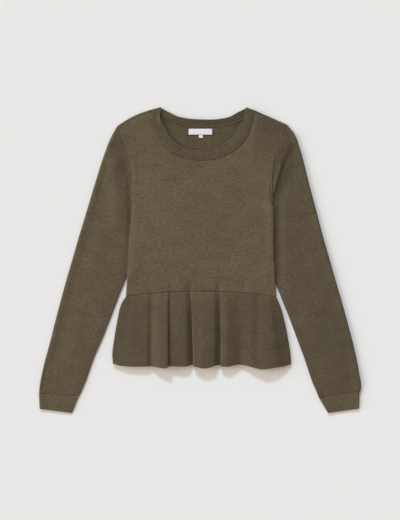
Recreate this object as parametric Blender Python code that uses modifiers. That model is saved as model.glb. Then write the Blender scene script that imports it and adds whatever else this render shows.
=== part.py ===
"""A long-sleeved knitted crew neck sweater with a peplum, lying flat on its back.

The neck points to +Y and the floor is z = 0. Sizes and tables are in millimetres.
Every piece is a wall of cloth: a grid of points in the middle of the cloth, thickened by Solidify.
Left is -X, the left of someone who looks down at the sweater.
"""

from collections import namedtuple

import bmesh
import bpy
import numpy as np
from mathutils import Vector

# Driving dimensions
MM = 0.001
WALL = 1.4  # thickness of the knitted cloth
GAP = 0.3  # between two pieces at a seam
FLOOR = WALL / 2  # middle of the cloth that lies on the floor
CHEST_Z = 3.4  # middle of the front panel where it lies on the back panel
ROLL = 3.0  # how far in from an edge the cloth turns over
SHOULDER_WRAP = 4.6  # how far the back panel comes over the shoulder
SHOULDER_Z = 3.2  # middle of the cloth at the shoulder seam
BOW = 4.0  # how far the left shoulder bows out halfway between the neck and its tip
BOW_REACH = 40.0  # it fades over this distance into the garment
LIFT_REACH = 24.0  # how far in from its raised edges the front panel sinks
LIFT_LEAD = 10.0  # it starts to sink this much before the side seam underneath
WAIST_Z = 3.8  # middle of the peplum's cloth at the waist seam
WAIST_ARCH = 11.0  # how much higher the waist seam is in the middle than at the edges
LAP_RISE = 8.0  # the cloth turned under climbs over the sleeve within this
LAP_FLAT = 1.0  # after it has run level beside the seam for this
TIP_GAP = 0.7  # between the sleeve and the back panel where both turn over the shoulder
BAND_FREE_Z = 3.9  # middle of the neckband at its free edge in front
BAND_BACK_Z = 5.0  # and at the back, where it stands up a little
BAND_SWELL = 0.7  # how fast it reaches those heights from the shoulders
LABEL_WALL = 1.0

# How finely each piece is divided
SHOULDER_STEPS = 3
NECK_STEPS = 12
ROLL_STEPS = 4
PEPLUM_STEPS = 6
BACK_PEPLUM_COLUMNS = 20
PATCH_ROWS = 5  # rows from the shoulder to where the lines across become straight
NECK_SHARES = (0.14, 0.86)  # the columns that run up to the neck, as shares of the width
OPEN_INSETS = [0.0, 0.3, 0.8, 1.4, 2.0, 2.6, 3.3, 4.0]  # the columns beside an edge that isn't folded under
BACK_INSETS = [0.0, 4.0, 9.0]
EDGE_FADE = 8  # how fast the armhole's curve dies out across a panel
NECK_FADE = 1.5  # how fast the neck's curve dies out down a panel

Side = namedtuple("Side", "name sign shoulder_tip neck_corner band_tip front_armhole back_armhole")
Section = namedtuple("Section", "y left right left_seam right_seam lap_z seam_z crown_z")
Station = namedtuple("Station", "outer_x outer_y inner_x inner_y")
Fold = namedtuple("Fold", "waist_x hem_x hem_y hem_z")
Ridge = namedtuple("Ridge", "x half_width")

# The neck, from the left shoulder to the right: the seams and the free edges of the neckband
FRONT_NECK = [
    (-98.5, 292.0), (-93.5, 268.0), (-85.0, 248.5), (-66.0, 227.5), (-42.0, 215.0), (-2.0, 208.0),
    (44.0, 213.5), (76.0, 230.0), (94.0, 248.0), (105.5, 270.5), (112.0, 292.5),
]
FRONT_FREE_EDGE = [
    (-84.0, 301.5), (-76.0, 281.5), (-65.0, 262.0), (-50.0, 246.0), (-32.5, 235.5), (-1.0, 230.5),
    (31.5, 235.0), (55.5, 246.0), (72.0, 262.5), (83.0, 280.0), (91.0, 294.5),
]
BACK_NECK = [
    (-92.0, 306.5), (-79.5, 297.5), (-65.0, 291.0), (-33.0, 281.5), (7.5, 278.5), (55.5, 281.5),
    (80.0, 288.0), (92.5, 296.0), (105.0, 304.5),
]
BACK_FREE_EDGE = [
    (-66.5, 310.5), (-48.5, 301.5), (-24.5, 296.5), (7.5, 294.5), (39.5, 296.5), (63.5, 302.5),
    (80.0, 310.5),
]

# The armhole seams from the shoulder to the underarm, as x at each of these heights. The front one
# shows down to y = 126, and from there it goes in under the body.
ARMHOLE_Y = [259.5, 235.5, 203.5, 166.0, 126.0, 107.0, 94.5, 88.0]
ARMHOLE_Z = [3.2, 3.5, 3.9, 4.2, 4.0, 3.3, 2.8, 2.6, 2.6]
LEFT = Side(
    "left", -1, (-173.5, 281.0), (-102.5, 315.5), (-82.5, 320.9),
    [-166.0, -157.5, -148.5, -143.5, -143.0, -136.5, -124.0, -111.0],
    [-167.0, -157.0, -146.5, -137.5, -127.0, -119.5, -114.5, -111.0],
)
RIGHT = Side(
    "right", 1, (181.7, 284.5), (117.5, 313.0), (96.6, 320.5),
    [173.5, 163.0, 154.0, 150.5, 150.0, 144.0, 128.0, 111.0],
    [174.0, 163.5, 151.5, 141.0, 129.5, 120.5, 114.5, 111.0],
)

# The body from the armhole to the waist: its edges, the side seams on its underside, the height of
# the cloth turned under, of the seam and of the top
BODY = [
    Section(203.5, -148.5, 154.0, -148.5, 154.0, 4.2, 4.2, 4.2),
    Section(166.0, -143.5, 150.5, -143.5, 150.5, 4.9, 4.9, 4.9),
    Section(126.0, -143.0, 150.0, -143.0, 150.0, 2.8, 2.8, 6.2),
    Section(107.0, -143.0, 152.0, -136.5, 144.0, 4.6, 4.6, 7.5),
    Section(94.5, -143.5, 153.0, -124.0, 128.0, 4.7, 4.7, 7.6),
    Section(88.0, -144.0, 153.5, -109.5, 109.5, 4.7, 4.7, 7.6),
    Section(77.0, -145.0, 153.5, -107.0, 107.0, 4.7, 3.5, 7.6),
    Section(66.0, -146.0, 153.5, -106.0, 106.0, 4.5, 0.7, 7.5),
    Section(42.0, -148.0, 153.5, -116.0, 117.0, 4.5, 0.7, 7.5),
    Section(20.0, -149.5, 154.0, -124.0, 124.5, 4.5, 0.7, 7.5),
    Section(-4.0, -150.5, 155.5, -132.5, 132.8, 4.5, 0.7, 7.5),
    Section(-26.0, -152.5, 157.0, -138.5, 140.0, 4.5, 0.7, 7.4),
    Section(-46.0, -153.5, 158.0, -138.5, 141.5, 4.0, 0.7, 6.9),
    Section(-60.0, -154.5, 158.8, -144.5, 148.5, 1.6, 0.7, 5.7),
    Section(-77.0, -155.5, 159.5, -151.8, 155.8, 0.7, 0.7, 4.7),
]
OPEN_ROWS = 3  # its first rows end at the armholes, with no cloth turned under
UNDERARM_ROW = 5

# The sleeves and cuffs: a row for each line across, from the outer to the inner edge
LEFT_SLEEVE = [
    Station(-173.5, 281.0, -110.2, 88.0), Station(-186.5, 257.5, -112.0, 84.0),
    Station(-201.0, 220.5, -114.5, 77.5), Station(-220.3, 160.5, -118.0, 67.5),
    Station(-239.0, 98.5, -123.0, 56.0), Station(-252.9, 53.0, -138.0, 14.5),
    Station(-266.0, 7.5, -153.5, -29.0), Station(-279.5, -38.5, -170.5, -74.0),
    Station(-292.0, -84.0, -188.0, -118.0), Station(-303.5, -128.0, -205.0, -160.0),
    Station(-314.5, -172.0, -222.0, -202.5), Station(-330.0, -231.0, -240.0, -252.0),
    Station(-337.2, -272.0, -252.0, -279.5), Station(-337.4, -278.5, -254.7, -285.0),
]
RIGHT_SLEEVE = [
    Station(181.7, 284.5, 110.2, 88.0), Station(197.9, 264.5, 112.0, 84.0),
    Station(210.3, 231.0, 114.5, 77.5), Station(228.7, 160.5, 118.0, 67.5),
    Station(245.4, 98.5, 124.0, 56.5), Station(257.2, 53.0, 138.5, 14.0),
    Station(270.3, 7.5, 154.0, -30.0), Station(283.3, -38.5, 170.0, -74.5),
    Station(296.7, -84.0, 186.5, -119.0), Station(308.8, -128.0, 202.5, -162.0),
    Station(320.4, -172.0, 218.5, -205.0), Station(333.2, -231.0, 237.5, -255.5),
    Station(337.6, -267.5, 249.0, -283.0), Station(337.0, -274.5, 251.0, -287.5),
]
LEFT_CUFF = [Station(-337.4, -279.0, -255.5, -285.5), Station(-336.4, -311.3, -268.4, -320.1)]
RIGHT_CUFF = [Station(335.4, -275.0, 252.0, -288.0), Station(332.8, -311.4, 269.0, -320.7)]
SLEEVE_MIDDLE_Z = 3.0
SLEEVE_EDGE_Z = 5.4
SLEEVE_EDGE_REACH = 16.0
SLEEVE_ROLL = 2.2  # how far in the sleeve's cloth turns over at its inner edge
SLEEVE_ROLL_STEPS = 3
ARMHOLE_REACH = 0.35  # share of the sleeve over which the armhole's curve fades
PRESS_START = 10.0  # the body presses the sleeve down from this far outside its own edge
PRESS_WIDTH = 8.0
PRESS_TOP_Y, PRESS_BOTTOM_Y, PRESS_FADE = 132.0, -80.0, 20.0
CUFF_MIDDLE_Z = 3.0
CUFF_EDGE_Z = 4.0

# The peplum: its edges from waist to hem, and a row for each ridge, valley and slope of its folds
PEPLUM_LEFT = [
    (-155.8, -77.0), (-164.5, -91.0), (-173.5, -127.0), (-180.5, -168.5), (-184.0, -197.0),
    (-182.9, -217.8),
]
PEPLUM_RIGHT = [
    (159.8, -77.0), (169.0, -98.5), (177.0, -127.0), (184.0, -161.5), (189.5, -197.0),
    (191.0, -219.2),
]
FOLDS = [
    Fold(-145.0, -168.0, -221.5, 7.3), Fold(-130.0, -145.0, -223.6, 10.8),
    Fold(-115.5, -119.5, -224.1, 10.3), Fold(-103.0, -101.0, -224.5, 7.8),
    Fold(-88.0, -86.0, -226.4, 13.3), Fold(-75.5, -74.5, -227.4, 18.8),
    Fold(-68.5, -67.5, -226.0, 18.0), Fold(-66.0, -65.5, -225.0, 13.5),
    Fold(-58.0, -57.5, -224.7, 12.9), Fold(-44.0, -44.0, -224.5, 14.8),
    Fold(-30.5, -31.5, -224.0, 11.3), Fold(-21.0, -21.0, -220.5, 5.3),
    Fold(-16.0, -16.0, -219.7, 6.3), Fold(-12.0, -10.5, -222.6, 12.8),
    Fold(6.5, 8.5, -228.5, 18.3), Fold(23.0, 22.0, -225.5, 14.8),
    Fold(38.0, 35.5, -220.5, 6.3), Fold(44.0, 44.0, -222.0, 8.3),
    Fold(54.5, 56.5, -223.6, 14.8), Fold(71.5, 75.5, -221.1, 10.3),
    Fold(84.0, 88.0, -220.1, 6.8), Fold(98.5, 105.0, -224.3, 12.3),
    Fold(113.5, 122.0, -228.7, 18.3), Fold(130.0, 143.0, -228.5, 18.3),
    Fold(147.0, 168.0, -224.3, 9.3),
]
PEPLUM_EDGE_Z = 4.6
BACK_HEM_Y = -217.5
BACK_RIDGES = [Ridge(-118.0, 9.0), Ridge(-74.0, 8.0), Ridge(9.0, 10.0), Ridge(62.0, 8.0), Ridge(128.0, 10.0)]
BACK_RIDGE_RISE = 1.4

# The label and the size tab that hangs below it
LABEL_X, LABEL_Y = (-24.0, 26.0), (262.9, 276.4)
TAB_X, TAB_Y = (-2.5, 6.5), (255.7, 262.6)

OLIVE = (0.118, 0.093, 0.060)
RIB_OLIVE = (0.100, 0.080, 0.050)
WHITE = (0.60, 0.58, 0.60)


# Curves and blends

def ease(share):
    share = np.clip(share, 0.0, 1.0)
    return share * share * (3.0 - 2.0 * share)


def unit(vector):
    return vector / np.linalg.norm(vector)


def between(first, last, share):
    return first + (last - first) * share


def smooth(knots, values, at):
    """A smooth curve that has each value at its knot."""
    knots, values, at = (np.asarray(item, float) for item in (knots, values, at))
    slopes = np.gradient(values, knots, axis=0)
    low = np.clip(np.searchsorted(knots, at, side="right") - 1, 0, len(knots) - 2)
    span = (knots[low + 1] - knots[low])[:, None]
    share = (at - knots[low])[:, None] / span
    return (
        values[low] * (1 + 2 * share) * (1 - share) ** 2
        + slopes[low] * span * share * (1 - share) ** 2
        + values[low + 1] * share**2 * (3 - 2 * share)
        + slopes[low + 1] * span * share**2 * (share - 1)
    )


def distances(points):
    return np.concatenate([[0], np.cumsum(np.linalg.norm(np.diff(points, axis=0), axis=1))])


def evenly(points, steps):
    """Points at even distances along a smooth curve through the given ones."""
    points = np.array(points, float)
    along = distances(points)
    fine = smooth(along, points, np.linspace(0, along[-1], 20 * len(points)))
    length = distances(fine)
    places = np.linspace(0, length[-1], steps + 1)
    return np.stack([np.interp(places, length, fine[:, k]) for k in (0, 1)], axis=1)


def moved_left(points, by):
    """The line moved sideways, to the left of its direction."""
    direction = np.gradient(points, axis=0)
    direction /= np.linalg.norm(direction, axis=1)[:, None]
    return points + by * np.stack([-direction[:, 1], direction[:, 0]], axis=1)


def waist_y(x):
    """The waist seam, a shallow arch."""
    bottom = BODY[-1]
    middle, half = (bottom.left + bottom.right) / 2, (bottom.right - bottom.left) / 2
    return bottom.y + WAIST_ARCH * np.clip(1 - ((x - middle) / half) ** 2, 0, 1)


def row_y(section, x):
    """A row of the body runs straight across, except the last, which follows the waist seam."""
    return waist_y(x) + GAP / 2 if section.y == BODY[-1].y else np.full(len(x), section.y)


# The shoulders and the neck

def shoulder_frame(side):
    """The shoulder's direction towards the neck, and the direction into the garment."""
    along = unit(np.array(side.neck_corner) - np.array(side.shoulder_tip))
    inward = np.array([-along[1], along[0]]) * side.sign
    return along, inward


def bowed(point):
    """The point moved out with the left shoulder, which is not quite straight."""
    along, inward = shoulder_frame(LEFT)
    reach = np.linalg.norm(np.array(LEFT.neck_corner) - np.array(LEFT.shoulder_tip))
    offset = point[:2] - np.array(LEFT.shoulder_tip)
    share = np.clip(offset @ along / reach, 0, 1)
    inside = max(offset @ inward, 0)
    amount = BOW * np.sin(np.pi * share) * np.exp(-((inside / BOW_REACH) ** 2))
    return (*(point[:2] - amount * inward), point[2])


def wrap(place, inward, top_z=SHOULDER_Z):
    """The cloth that turns over an edge, from the seam on top round to the underside."""
    middle, rise = (top_z + FLOOR) / 2, (top_z - FLOOR) / 2
    points = [(*(place + inward * (SHOULDER_WRAP - GAP / 2)), top_z)]
    for step in range(ROLL_STEPS + 1):
        angle = np.pi / 2 - np.pi * step / ROLL_STEPS
        inset = WALL / 2 + (ROLL - WALL / 2) * (1 - np.cos(angle))
        points.append((*(place + inward * inset), middle + rise * np.sin(angle)))
    return np.array(points)


def tip(side, inset, along_by=0.0):
    """The shoulder tip, moved into the garment and along the shoulder towards the neck."""
    along, inward = shoulder_frame(side)
    return np.array(side.shoulder_tip) + inward * inset + along * along_by


def neck_line(middle, corner, inset):
    """A line round the neck, with its ends at the two shoulders."""
    ends = [np.array(getattr(side, corner)) + shoulder_frame(side)[1] * inset for side in (LEFT, RIGHT)]
    return evenly([tuple(ends[0]), *middle, tuple(ends[1])], NECK_STEPS)


def armhole(side, xs, inset):
    """The armhole seam from the shoulder to the underarm."""
    return np.vstack([tip(side, inset), np.column_stack([xs, ARMHOLE_Y])])


NECK_COLUMNS = np.linspace(*NECK_SHARES, NECK_STEPS + 1)
COLUMNS = np.concatenate([
    np.linspace(0, NECK_SHARES[0], SHOULDER_STEPS + 1)[:-1],
    NECK_COLUMNS,
    np.linspace(NECK_SHARES[1], 1, SHOULDER_STEPS + 1)[1:],
])


def patch_row(ends, neck, left, right, number, places):
    """A row of the patch between the shoulders and neck, the two armholes and a straight row."""
    shares = np.concatenate([[0], NECK_COLUMNS, [1]])
    line = np.vstack([ends[0], neck, ends[1]])
    top = np.stack([np.interp(places, shares, line[:, k]) for k in (0, 1)], axis=1)
    last_left, last_right = left[PATCH_ROWS], right[PATCH_ROWS]
    across = places[:, None]
    down = (left[0][1] - left[number][1]) / (left[0][1] - last_left[1])
    row = between(top, between(last_left, last_right, across), np.array([down**NECK_FADE, down]))
    return (
        row + (left[number] - row[0]) * (1 - across) ** EDGE_FADE
        + (right[number] - row[-1]) * across ** EDGE_FADE
    )


# The front panel

def turned_edge(section, lap):
    """The columns beside an edge, from its seam: how far in from the edge, and how high."""
    middle, rise = (section.crown_z + section.lap_z) / 2, (section.crown_z - section.lap_z) / 2
    if lap <= GAP:
        insets = np.array(OPEN_INSETS)
        angles = np.arccos(np.clip(1 - insets / (ROLL - WALL / 2), 0, 1))
        return list(zip(insets, middle + rise * np.sin(angles)))
    flat = min(LAP_FLAT, (lap - ROLL) / 3)
    climb = min(LAP_RISE, (lap - ROLL) / 2)
    columns = [(lap, section.seam_z), (lap - flat, section.seam_z), (lap - flat - climb, section.lap_z)]
    for angle in np.linspace(-np.pi / 2, np.pi / 2, ROLL_STEPS + 1):
        inset = WALL / 2 + (ROLL - WALL / 2) * (1 - np.cos(angle))
        columns.append((inset, middle + rise * np.sin(angle)))
    return columns


def front_row(section):
    """The columns of the front panel, as shares of its width, and their heights."""
    width = section.right - section.left
    laps = section.left_seam - section.left, section.right - section.right_seam
    strips = [np.array(turned_edge(section, lap)) for lap in laps]
    inner = COLUMNS[1:-1]
    from_lap = np.minimum(
        inner * width - max(laps[0] - LIFT_LEAD, ROLL), (1 - inner) * width - max(laps[1] - LIFT_LEAD, ROLL))
    sink = np.exp(-((np.maximum(from_lap, 0) / LIFT_REACH) ** 2))
    heights = CHEST_Z + (section.crown_z - CHEST_Z) * sink
    return (
        np.concatenate([strips[0][:, 0] / width, inner, 1 - strips[1][::-1, 0] / width]),
        np.concatenate([strips[0][:, 1], heights, strips[1][::-1, 1]]),
    )


def front_panel():
    left = moved_left(armhole(LEFT, LEFT.front_armhole, SHOULDER_WRAP), GAP / 2)
    right = moved_left(armhole(RIGHT, RIGHT.front_armhole, SHOULDER_WRAP), -GAP / 2)
    neck = moved_left(neck_line(FRONT_NECK, "neck_corner", SHOULDER_WRAP), -GAP / 2)
    down = [shoulder_frame(side)[1] * GAP / 2 for side in (LEFT, RIGHT)]
    left[0], right[0] = left[0] + down[0], right[0] + down[1]
    neck[0], neck[-1] = neck[0] + down[0], neck[-1] + down[1]
    rows = []
    for number in range(PATCH_ROWS + 1):
        section = BODY[max(number - OPEN_ROWS, 0)]
        if number < OPEN_ROWS:
            section = section._replace(crown_z=ARMHOLE_Z[number])
        low, high = left[number][0], right[number][0]
        places, heights = front_row(section._replace(left=low, right=high, left_seam=low, right_seam=high))
        plan = patch_row((left[0], right[0]), neck, left, right, number, places)
        rows.append(np.column_stack([plan, heights]))
    for section in BODY[OPEN_ROWS:]:
        places, heights = front_row(section._replace(
            left_seam=section.left_seam - GAP / 2, right_seam=section.right_seam + GAP / 2))
        x = between(section.left, section.right, places)
        rows.append(np.column_stack([x, row_y(section, x), heights]))
    return rows


# The back panel, with a flap over each shoulder

def back_row(left, right):
    """The columns of the back panel, as shares of its width."""
    strip = np.array(BACK_INSETS) / (right - left)
    return np.concatenate([strip, COLUMNS[1:-1], 1 - strip[::-1]])


def back_panel():
    left = moved_left(armhole(LEFT, LEFT.back_armhole, ROLL), GAP / 2)
    right = moved_left(armhole(RIGHT, RIGHT.back_armhole, ROLL), -GAP / 2)
    left[0], right[0] = tip(LEFT, ROLL, GAP / 2), tip(RIGHT, ROLL, GAP / 2)
    neck = moved_left(neck_line(BACK_NECK, "neck_corner", ROLL), -GAP / 2)
    for side, end in ((LEFT, 0), (RIGHT, -1)):
        along, inward = shoulder_frame(side)
        neck[end] = np.array(side.neck_corner) + inward * ROLL - along * GAP / 2
    rows = []
    for number in range(PATCH_ROWS + 1):
        places = back_row(left[number][0], right[number][0])
        plan = patch_row((left[0], right[0]), neck, left, right, number, places)
        rows.append(np.column_stack([plan, np.full(len(plan), FLOOR)]))
    for section in BODY[OPEN_ROWS:]:
        number = BODY.index(section)
        low, high = section.left_seam + GAP / 2, section.right_seam - GAP / 2
        if number < UNDERARM_ROW:
            low, high = left[number + OPEN_ROWS][0], right[number + OPEN_ROWS][0]
        x = between(low, high, back_row(low, high))
        rows.append(np.column_stack([x, row_y(section, x), np.full(len(x), FLOOR)]))
    return shoulder_flaps(rows[0]) + rows


def shoulder_flaps(first_row):
    """The rows above the first one, which turn over the two shoulders. The neck's are cut away."""
    width = first_row[-1][0] - first_row[0][0]
    flaps = [first_row.copy() for _ in range(ROLL_STEPS + 1)]
    strip = len(BACK_INSETS) - 1
    for side, columns in (
        (LEFT, range(strip + SHOULDER_STEPS + 1)),
        (RIGHT, range(len(first_row) - 1 - strip - SHOULDER_STEPS, len(first_row))),
    ):
        along, inward = shoulder_frame(side)
        for column in columns:
            place = first_row[column][:2] - inward * ROLL
            for row, point in enumerate(wrap(place, inward)[:-1]):
                flaps[row][column] = point
    return flaps


def cut_at_neck(row, column):
    """Whether a face of the back panel lies between its two shoulder flaps."""
    first = len(BACK_INSETS) - 1 + SHOULDER_STEPS
    return row < ROLL_STEPS + 1 and first <= column < first + NECK_STEPS


# The sleeves and cuffs

def tube_ring(station, shares, middle_z, edge_z):
    """A flattened ring: the top from the inner to the outer edge, round it, and back underneath."""
    outer, inner = np.array(station[:2]), np.array(station[2:])
    across = unit(inner - outer)
    first, last = inner - across * SLEEVE_ROLL, outer + across * SHOULDER_WRAP
    top = between(first, last, shares[:, None])
    from_outer = np.linalg.norm(top - outer, axis=1) - SHOULDER_WRAP
    from_inner = np.linalg.norm(top - inner, axis=1) - SLEEVE_ROLL
    raised = sum(np.exp(-((away / SLEEVE_EDGE_REACH) ** 2)) for away in (from_outer, from_inner))
    top = np.column_stack([top, middle_z + (edge_z - middle_z) * raised])
    turn = wrap(outer, across, edge_z)[1:]
    bottom = between(turn[-1][:2], first, (1 - shares[::-1])[1:, None])
    bottom = np.column_stack([bottom, np.full(len(bottom), FLOOR)])
    return np.vstack([top, turn, bottom, inner_roll(first, across, top[0][2])])


def inner_roll(place, across, top_z, reach=SLEEVE_ROLL - WALL / 2):
    """Round the inner edge from the underside to the top, which closes the ring."""
    points = []
    for step in range(1, SLEEVE_ROLL_STEPS + 1):
        angle = np.pi * (step / SLEEVE_ROLL_STEPS - 0.5)
        height = between(FLOOR, top_z, (1 + np.sin(angle)) / 2)
        points.append((*(place + across * reach * np.cos(angle)), height))
    return np.array(points)


def armhole_ring(side):
    """The sleeve's own end, along the armhole seam."""
    outward = GAP / 2 * side.sign
    front = moved_left(armhole(side, side.front_armhole, SHOULDER_WRAP), 2 * outward)[::-1]
    back = moved_left(armhole(side, side.back_armhole, ROLL), outward)
    along, inward = shoulder_frame(side)
    end = np.array(side.shoulder_tip) - along * TIP_GAP
    top = np.column_stack([front, ARMHOLE_Z[::-1]])
    bottom = np.column_stack([back[1:], np.full(len(back) - 1, FLOOR)])
    roll = inner_roll(front[0], np.array([-side.sign, 0.0]), ARMHOLE_Z[-1], 0.0)
    return np.vstack([top, wrap(end, inward)[1:], bottom, roll])


def armhole_shares(side):
    along = distances(armhole(side, side.front_armhole, SHOULDER_WRAP)[::-1])
    return along / along[-1]


def pressed_by_body(side, x, y):
    """How much the body holds down the sleeve here: 0 beside it and 1 under it."""
    rows = BODY[::-1]
    heights = [row.y for row in rows]
    edge = np.interp(y, heights, [row[1 if side.sign < 0 else 2] for row in rows])
    inside = (x - edge) * -side.sign
    return (
        ease((inside + PRESS_START) / PRESS_WIDTH)
        * ease((PRESS_TOP_Y - y) / PRESS_FADE) * ease((y - PRESS_BOTTOM_Y) / PRESS_FADE)
    )


def sleeve(side, stations):
    shares = armhole_shares(side)
    end = armhole_ring(side)
    first = tube_ring(stations[0], shares, SLEEVE_MIDDLE_Z, SLEEVE_EDGE_Z)
    middles = np.array([
        ((row.outer_x + row.inner_x) / 2, (row.outer_y + row.inner_y) / 2) for row in stations
    ])
    along = distances(middles) / distances(middles)[-1]
    rings = []
    for station, place in zip(stations, along):
        ring = tube_ring(station, shares, SLEEVE_MIDDLE_Z, SLEEVE_EDGE_Z)
        ring += (end - first) * (1 - ease(place / ARMHOLE_REACH))
        top = len(shares)
        hidden = np.interp(ring[:top, 1], ARMHOLE_Y[:3:-1], ARMHOLE_Z[:4:-1])
        pressed = pressed_by_body(side, ring[:top, 0], ring[:top, 1])
        old = ring[0, 2]
        ring[:top, 2] = between(ring[:top, 2], np.minimum(ring[:top, 2], hidden), pressed)
        ring[-SLEEVE_ROLL_STEPS:, 2] = FLOOR + (ring[-SLEEVE_ROLL_STEPS:, 2] - FLOOR) * (
            (ring[0, 2] - FLOOR) / (old - FLOOR))
        rings.append(ring)
    return rings


def cuff(side, stations):
    shares = armhole_shares(side)
    return [tube_ring(station, shares, CUFF_MIDDLE_Z, CUFF_EDGE_Z) for station in stations]


# The neckband

def neckband():
    """A ring: the front, round the right shoulder, the back, and round the left shoulder."""
    front_seam = moved_left(neck_line(FRONT_NECK, "neck_corner", SHOULDER_WRAP), GAP / 2)
    back_seam = moved_left(neck_line(BACK_NECK, "neck_corner", ROLL), GAP / 2)
    front_free = neck_line(FRONT_FREE_EDGE, "band_tip", SHOULDER_WRAP)
    back_free = neck_line(BACK_FREE_EDGE, "band_tip", ROLL)
    turns = {}
    for side, end in ((LEFT, 0), (RIGHT, -1)):
        along, inward = shoulder_frame(side)
        corner = np.array(side.neck_corner) + along * GAP / 2
        turns[side.name] = wrap(corner, inward)[1:], wrap(np.array(side.band_tip), inward)[1:]
        front_seam[end] = corner + inward * SHOULDER_WRAP
        back_seam[end] = corner + inward * ROLL
    bulge = np.sin(np.linspace(0, np.pi, NECK_STEPS + 1)) ** BAND_SWELL
    levels = ((CHEST_Z, FLOOR), (BAND_FREE_Z, BAND_BACK_Z))
    rows = []
    for share in (0.0, 0.5, 1.0):
        front = between(front_seam, front_free, share)
        back = between(back_seam, back_free, share)
        front_z = SHOULDER_Z + (between(levels[0][0], levels[1][0], ease(share)) - SHOULDER_Z) * bulge
        back_z = FLOOR + (between(levels[0][1], levels[1][1], ease(share)) - FLOOR) * bulge
        right = between(*turns["right"], share)
        left = between(*turns["left"], share)
        rows.append(np.vstack([
            np.column_stack([front, front_z]), right[:-1],
            np.column_stack([back, back_z])[::-1], left[-2::-1],
            [(*front[0], front_z[0])],
        ]))
    return rows


# The peplum

def peplum_edges(share):
    """The left and right edge of the peplum at a share of the way from waist to hem."""
    edges = []
    for points in (PEPLUM_LEFT, PEPLUM_RIGHT):
        points = np.array(points)
        along = distances(points)
        edges.append(smooth(along, points, [share * along[-1]])[0])
    return edges


def peplum_front():
    rows = []
    for step in range(PEPLUM_STEPS + 1):
        share = step / PEPLUM_STEPS
        left, right = peplum_edges(share)
        grown = 1 - (1 - share) ** 2
        points = []
        for fold in FOLDS:
            top_y = waist_y(fold.waist_x) - GAP / 2
            points.append((
                between(fold.waist_x, fold.hem_x, share),
                between(top_y, fold.hem_y, share),
                between(WAIST_Z, fold.hem_z, grown),
            ))
        turns = []
        for edge, inward in ((left, 1), (right, -1)):
            turn = wrap(edge, np.array([inward, 0.0]), PEPLUM_EDGE_Z)[1:]
            if step == 0:
                turn[:, 1] = waist_y(turn[:, 0]) - GAP / 2
            turns.append(turn)
        rows.append(np.vstack([turns[0][::-1], points, turns[1]]))
    return rows


def peplum_back():
    rows = []
    for step in range(PEPLUM_STEPS + 1):
        share = step / PEPLUM_STEPS
        left, right = peplum_edges(share)
        x = np.linspace(left[0] + ROLL + 2 * GAP, right[0] - ROLL - 2 * GAP, BACK_PEPLUM_COLUMNS + 1)
        y = between(waist_y(x) - GAP / 2, BACK_HEM_Y, share)
        z = np.full(len(x), FLOOR)
        for ridge in BACK_RIDGES:
            z += BACK_RIDGE_RISE * ease(share) * np.exp(-(((x - ridge.x) / ridge.half_width) ** 2))
        rows.append(np.column_stack([x, y, z]))
    return rows


def flat_piece(x_range, y_range, z):
    return [
        np.array([(x, y, z) for x in np.linspace(*x_range, 3)])
        for y in np.linspace(y_range[1], y_range[0], 3)
    ]


# Building

def material(name, colour, roughness):
    made = bpy.data.materials.new(name)
    made.use_nodes = True
    shader = made.node_tree.nodes["Principled BSDF"]
    shader.inputs["Base Color"].default_value = (*colour, 1.0)
    shader.inputs["Roughness"].default_value = roughness
    shader.inputs["Metallic"].default_value = 0.0
    return made


def cloth(name, rows, surface, ring=False, cut=None, wall=WALL):
    """A wall of cloth on rows of points, closed into a ring where the columns meet."""
    last_row, last_column = len(rows) - 1, len(rows[0]) - 1
    sheet = bmesh.new()
    bmesh.ops.create_grid(sheet, x_segments=last_column, y_segments=last_row, size=1)
    cells = {}
    for vertex in sheet.verts:
        column = round((vertex.co.x + 1) / 2 * last_column)
        row = round((1 - vertex.co.y) / 2 * last_row)
        cells[vertex] = row, column
    if cut:
        doomed = [
            face for face in sheet.faces
            if cut(min(cells[v][0] for v in face.verts), min(cells[v][1] for v in face.verts))
        ]
        bmesh.ops.delete(sheet, geom=doomed, context="FACES")
    for vertex in sheet.verts:
        row, column = cells[vertex]
        vertex.co = Vector(bowed(rows[row][column])) * MM
    if ring:
        bmesh.ops.remove_doubles(sheet, verts=sheet.verts, dist=0.01 * MM)
    mesh = bpy.data.meshes.new(name)
    sheet.to_mesh(mesh)
    sheet.free()
    mesh.shade_smooth()
    mesh.materials.append(surface)
    piece = bpy.data.objects.new(name, mesh)
    thick = piece.modifiers.new("Wall", "SOLIDIFY")
    thick.thickness = wall * MM
    thick.offset = 0.0
    sweater.objects.link(piece)
    return piece


for item in list(bpy.data.objects):
    bpy.data.objects.remove(item)
sweater = bpy.data.collections.new("peplum_sweater")
bpy.context.scene.collection.children.link(sweater)

knit = material("olive_knit", OLIVE, 0.9)
rib = material("olive_rib", RIB_OLIVE, 0.9)
woven = material("white_label", WHITE, 0.7)
label_z = WALL + GAP + LABEL_WALL / 2

cloth("front_panel", front_panel(), knit)
cloth("back_panel", back_panel(), knit, cut=cut_at_neck)
cloth("sleeve_left", sleeve(LEFT, LEFT_SLEEVE), knit, ring=True)
cloth("sleeve_right", sleeve(RIGHT, RIGHT_SLEEVE), knit, ring=True)
cloth("cuff_left", cuff(LEFT, LEFT_CUFF), rib, ring=True)
cloth("cuff_right", cuff(RIGHT, RIGHT_CUFF), rib, ring=True)
cloth("neckband", neckband(), rib, ring=True)
cloth("peplum_front", peplum_front(), knit)
cloth("peplum_back", peplum_back(), knit)
cloth("neck_label", flat_piece(LABEL_X, LABEL_Y, label_z), woven, wall=LABEL_WALL)
cloth("size_tab", flat_piece(TAB_X, TAB_Y, label_z), woven, wall=LABEL_WALL)
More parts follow.
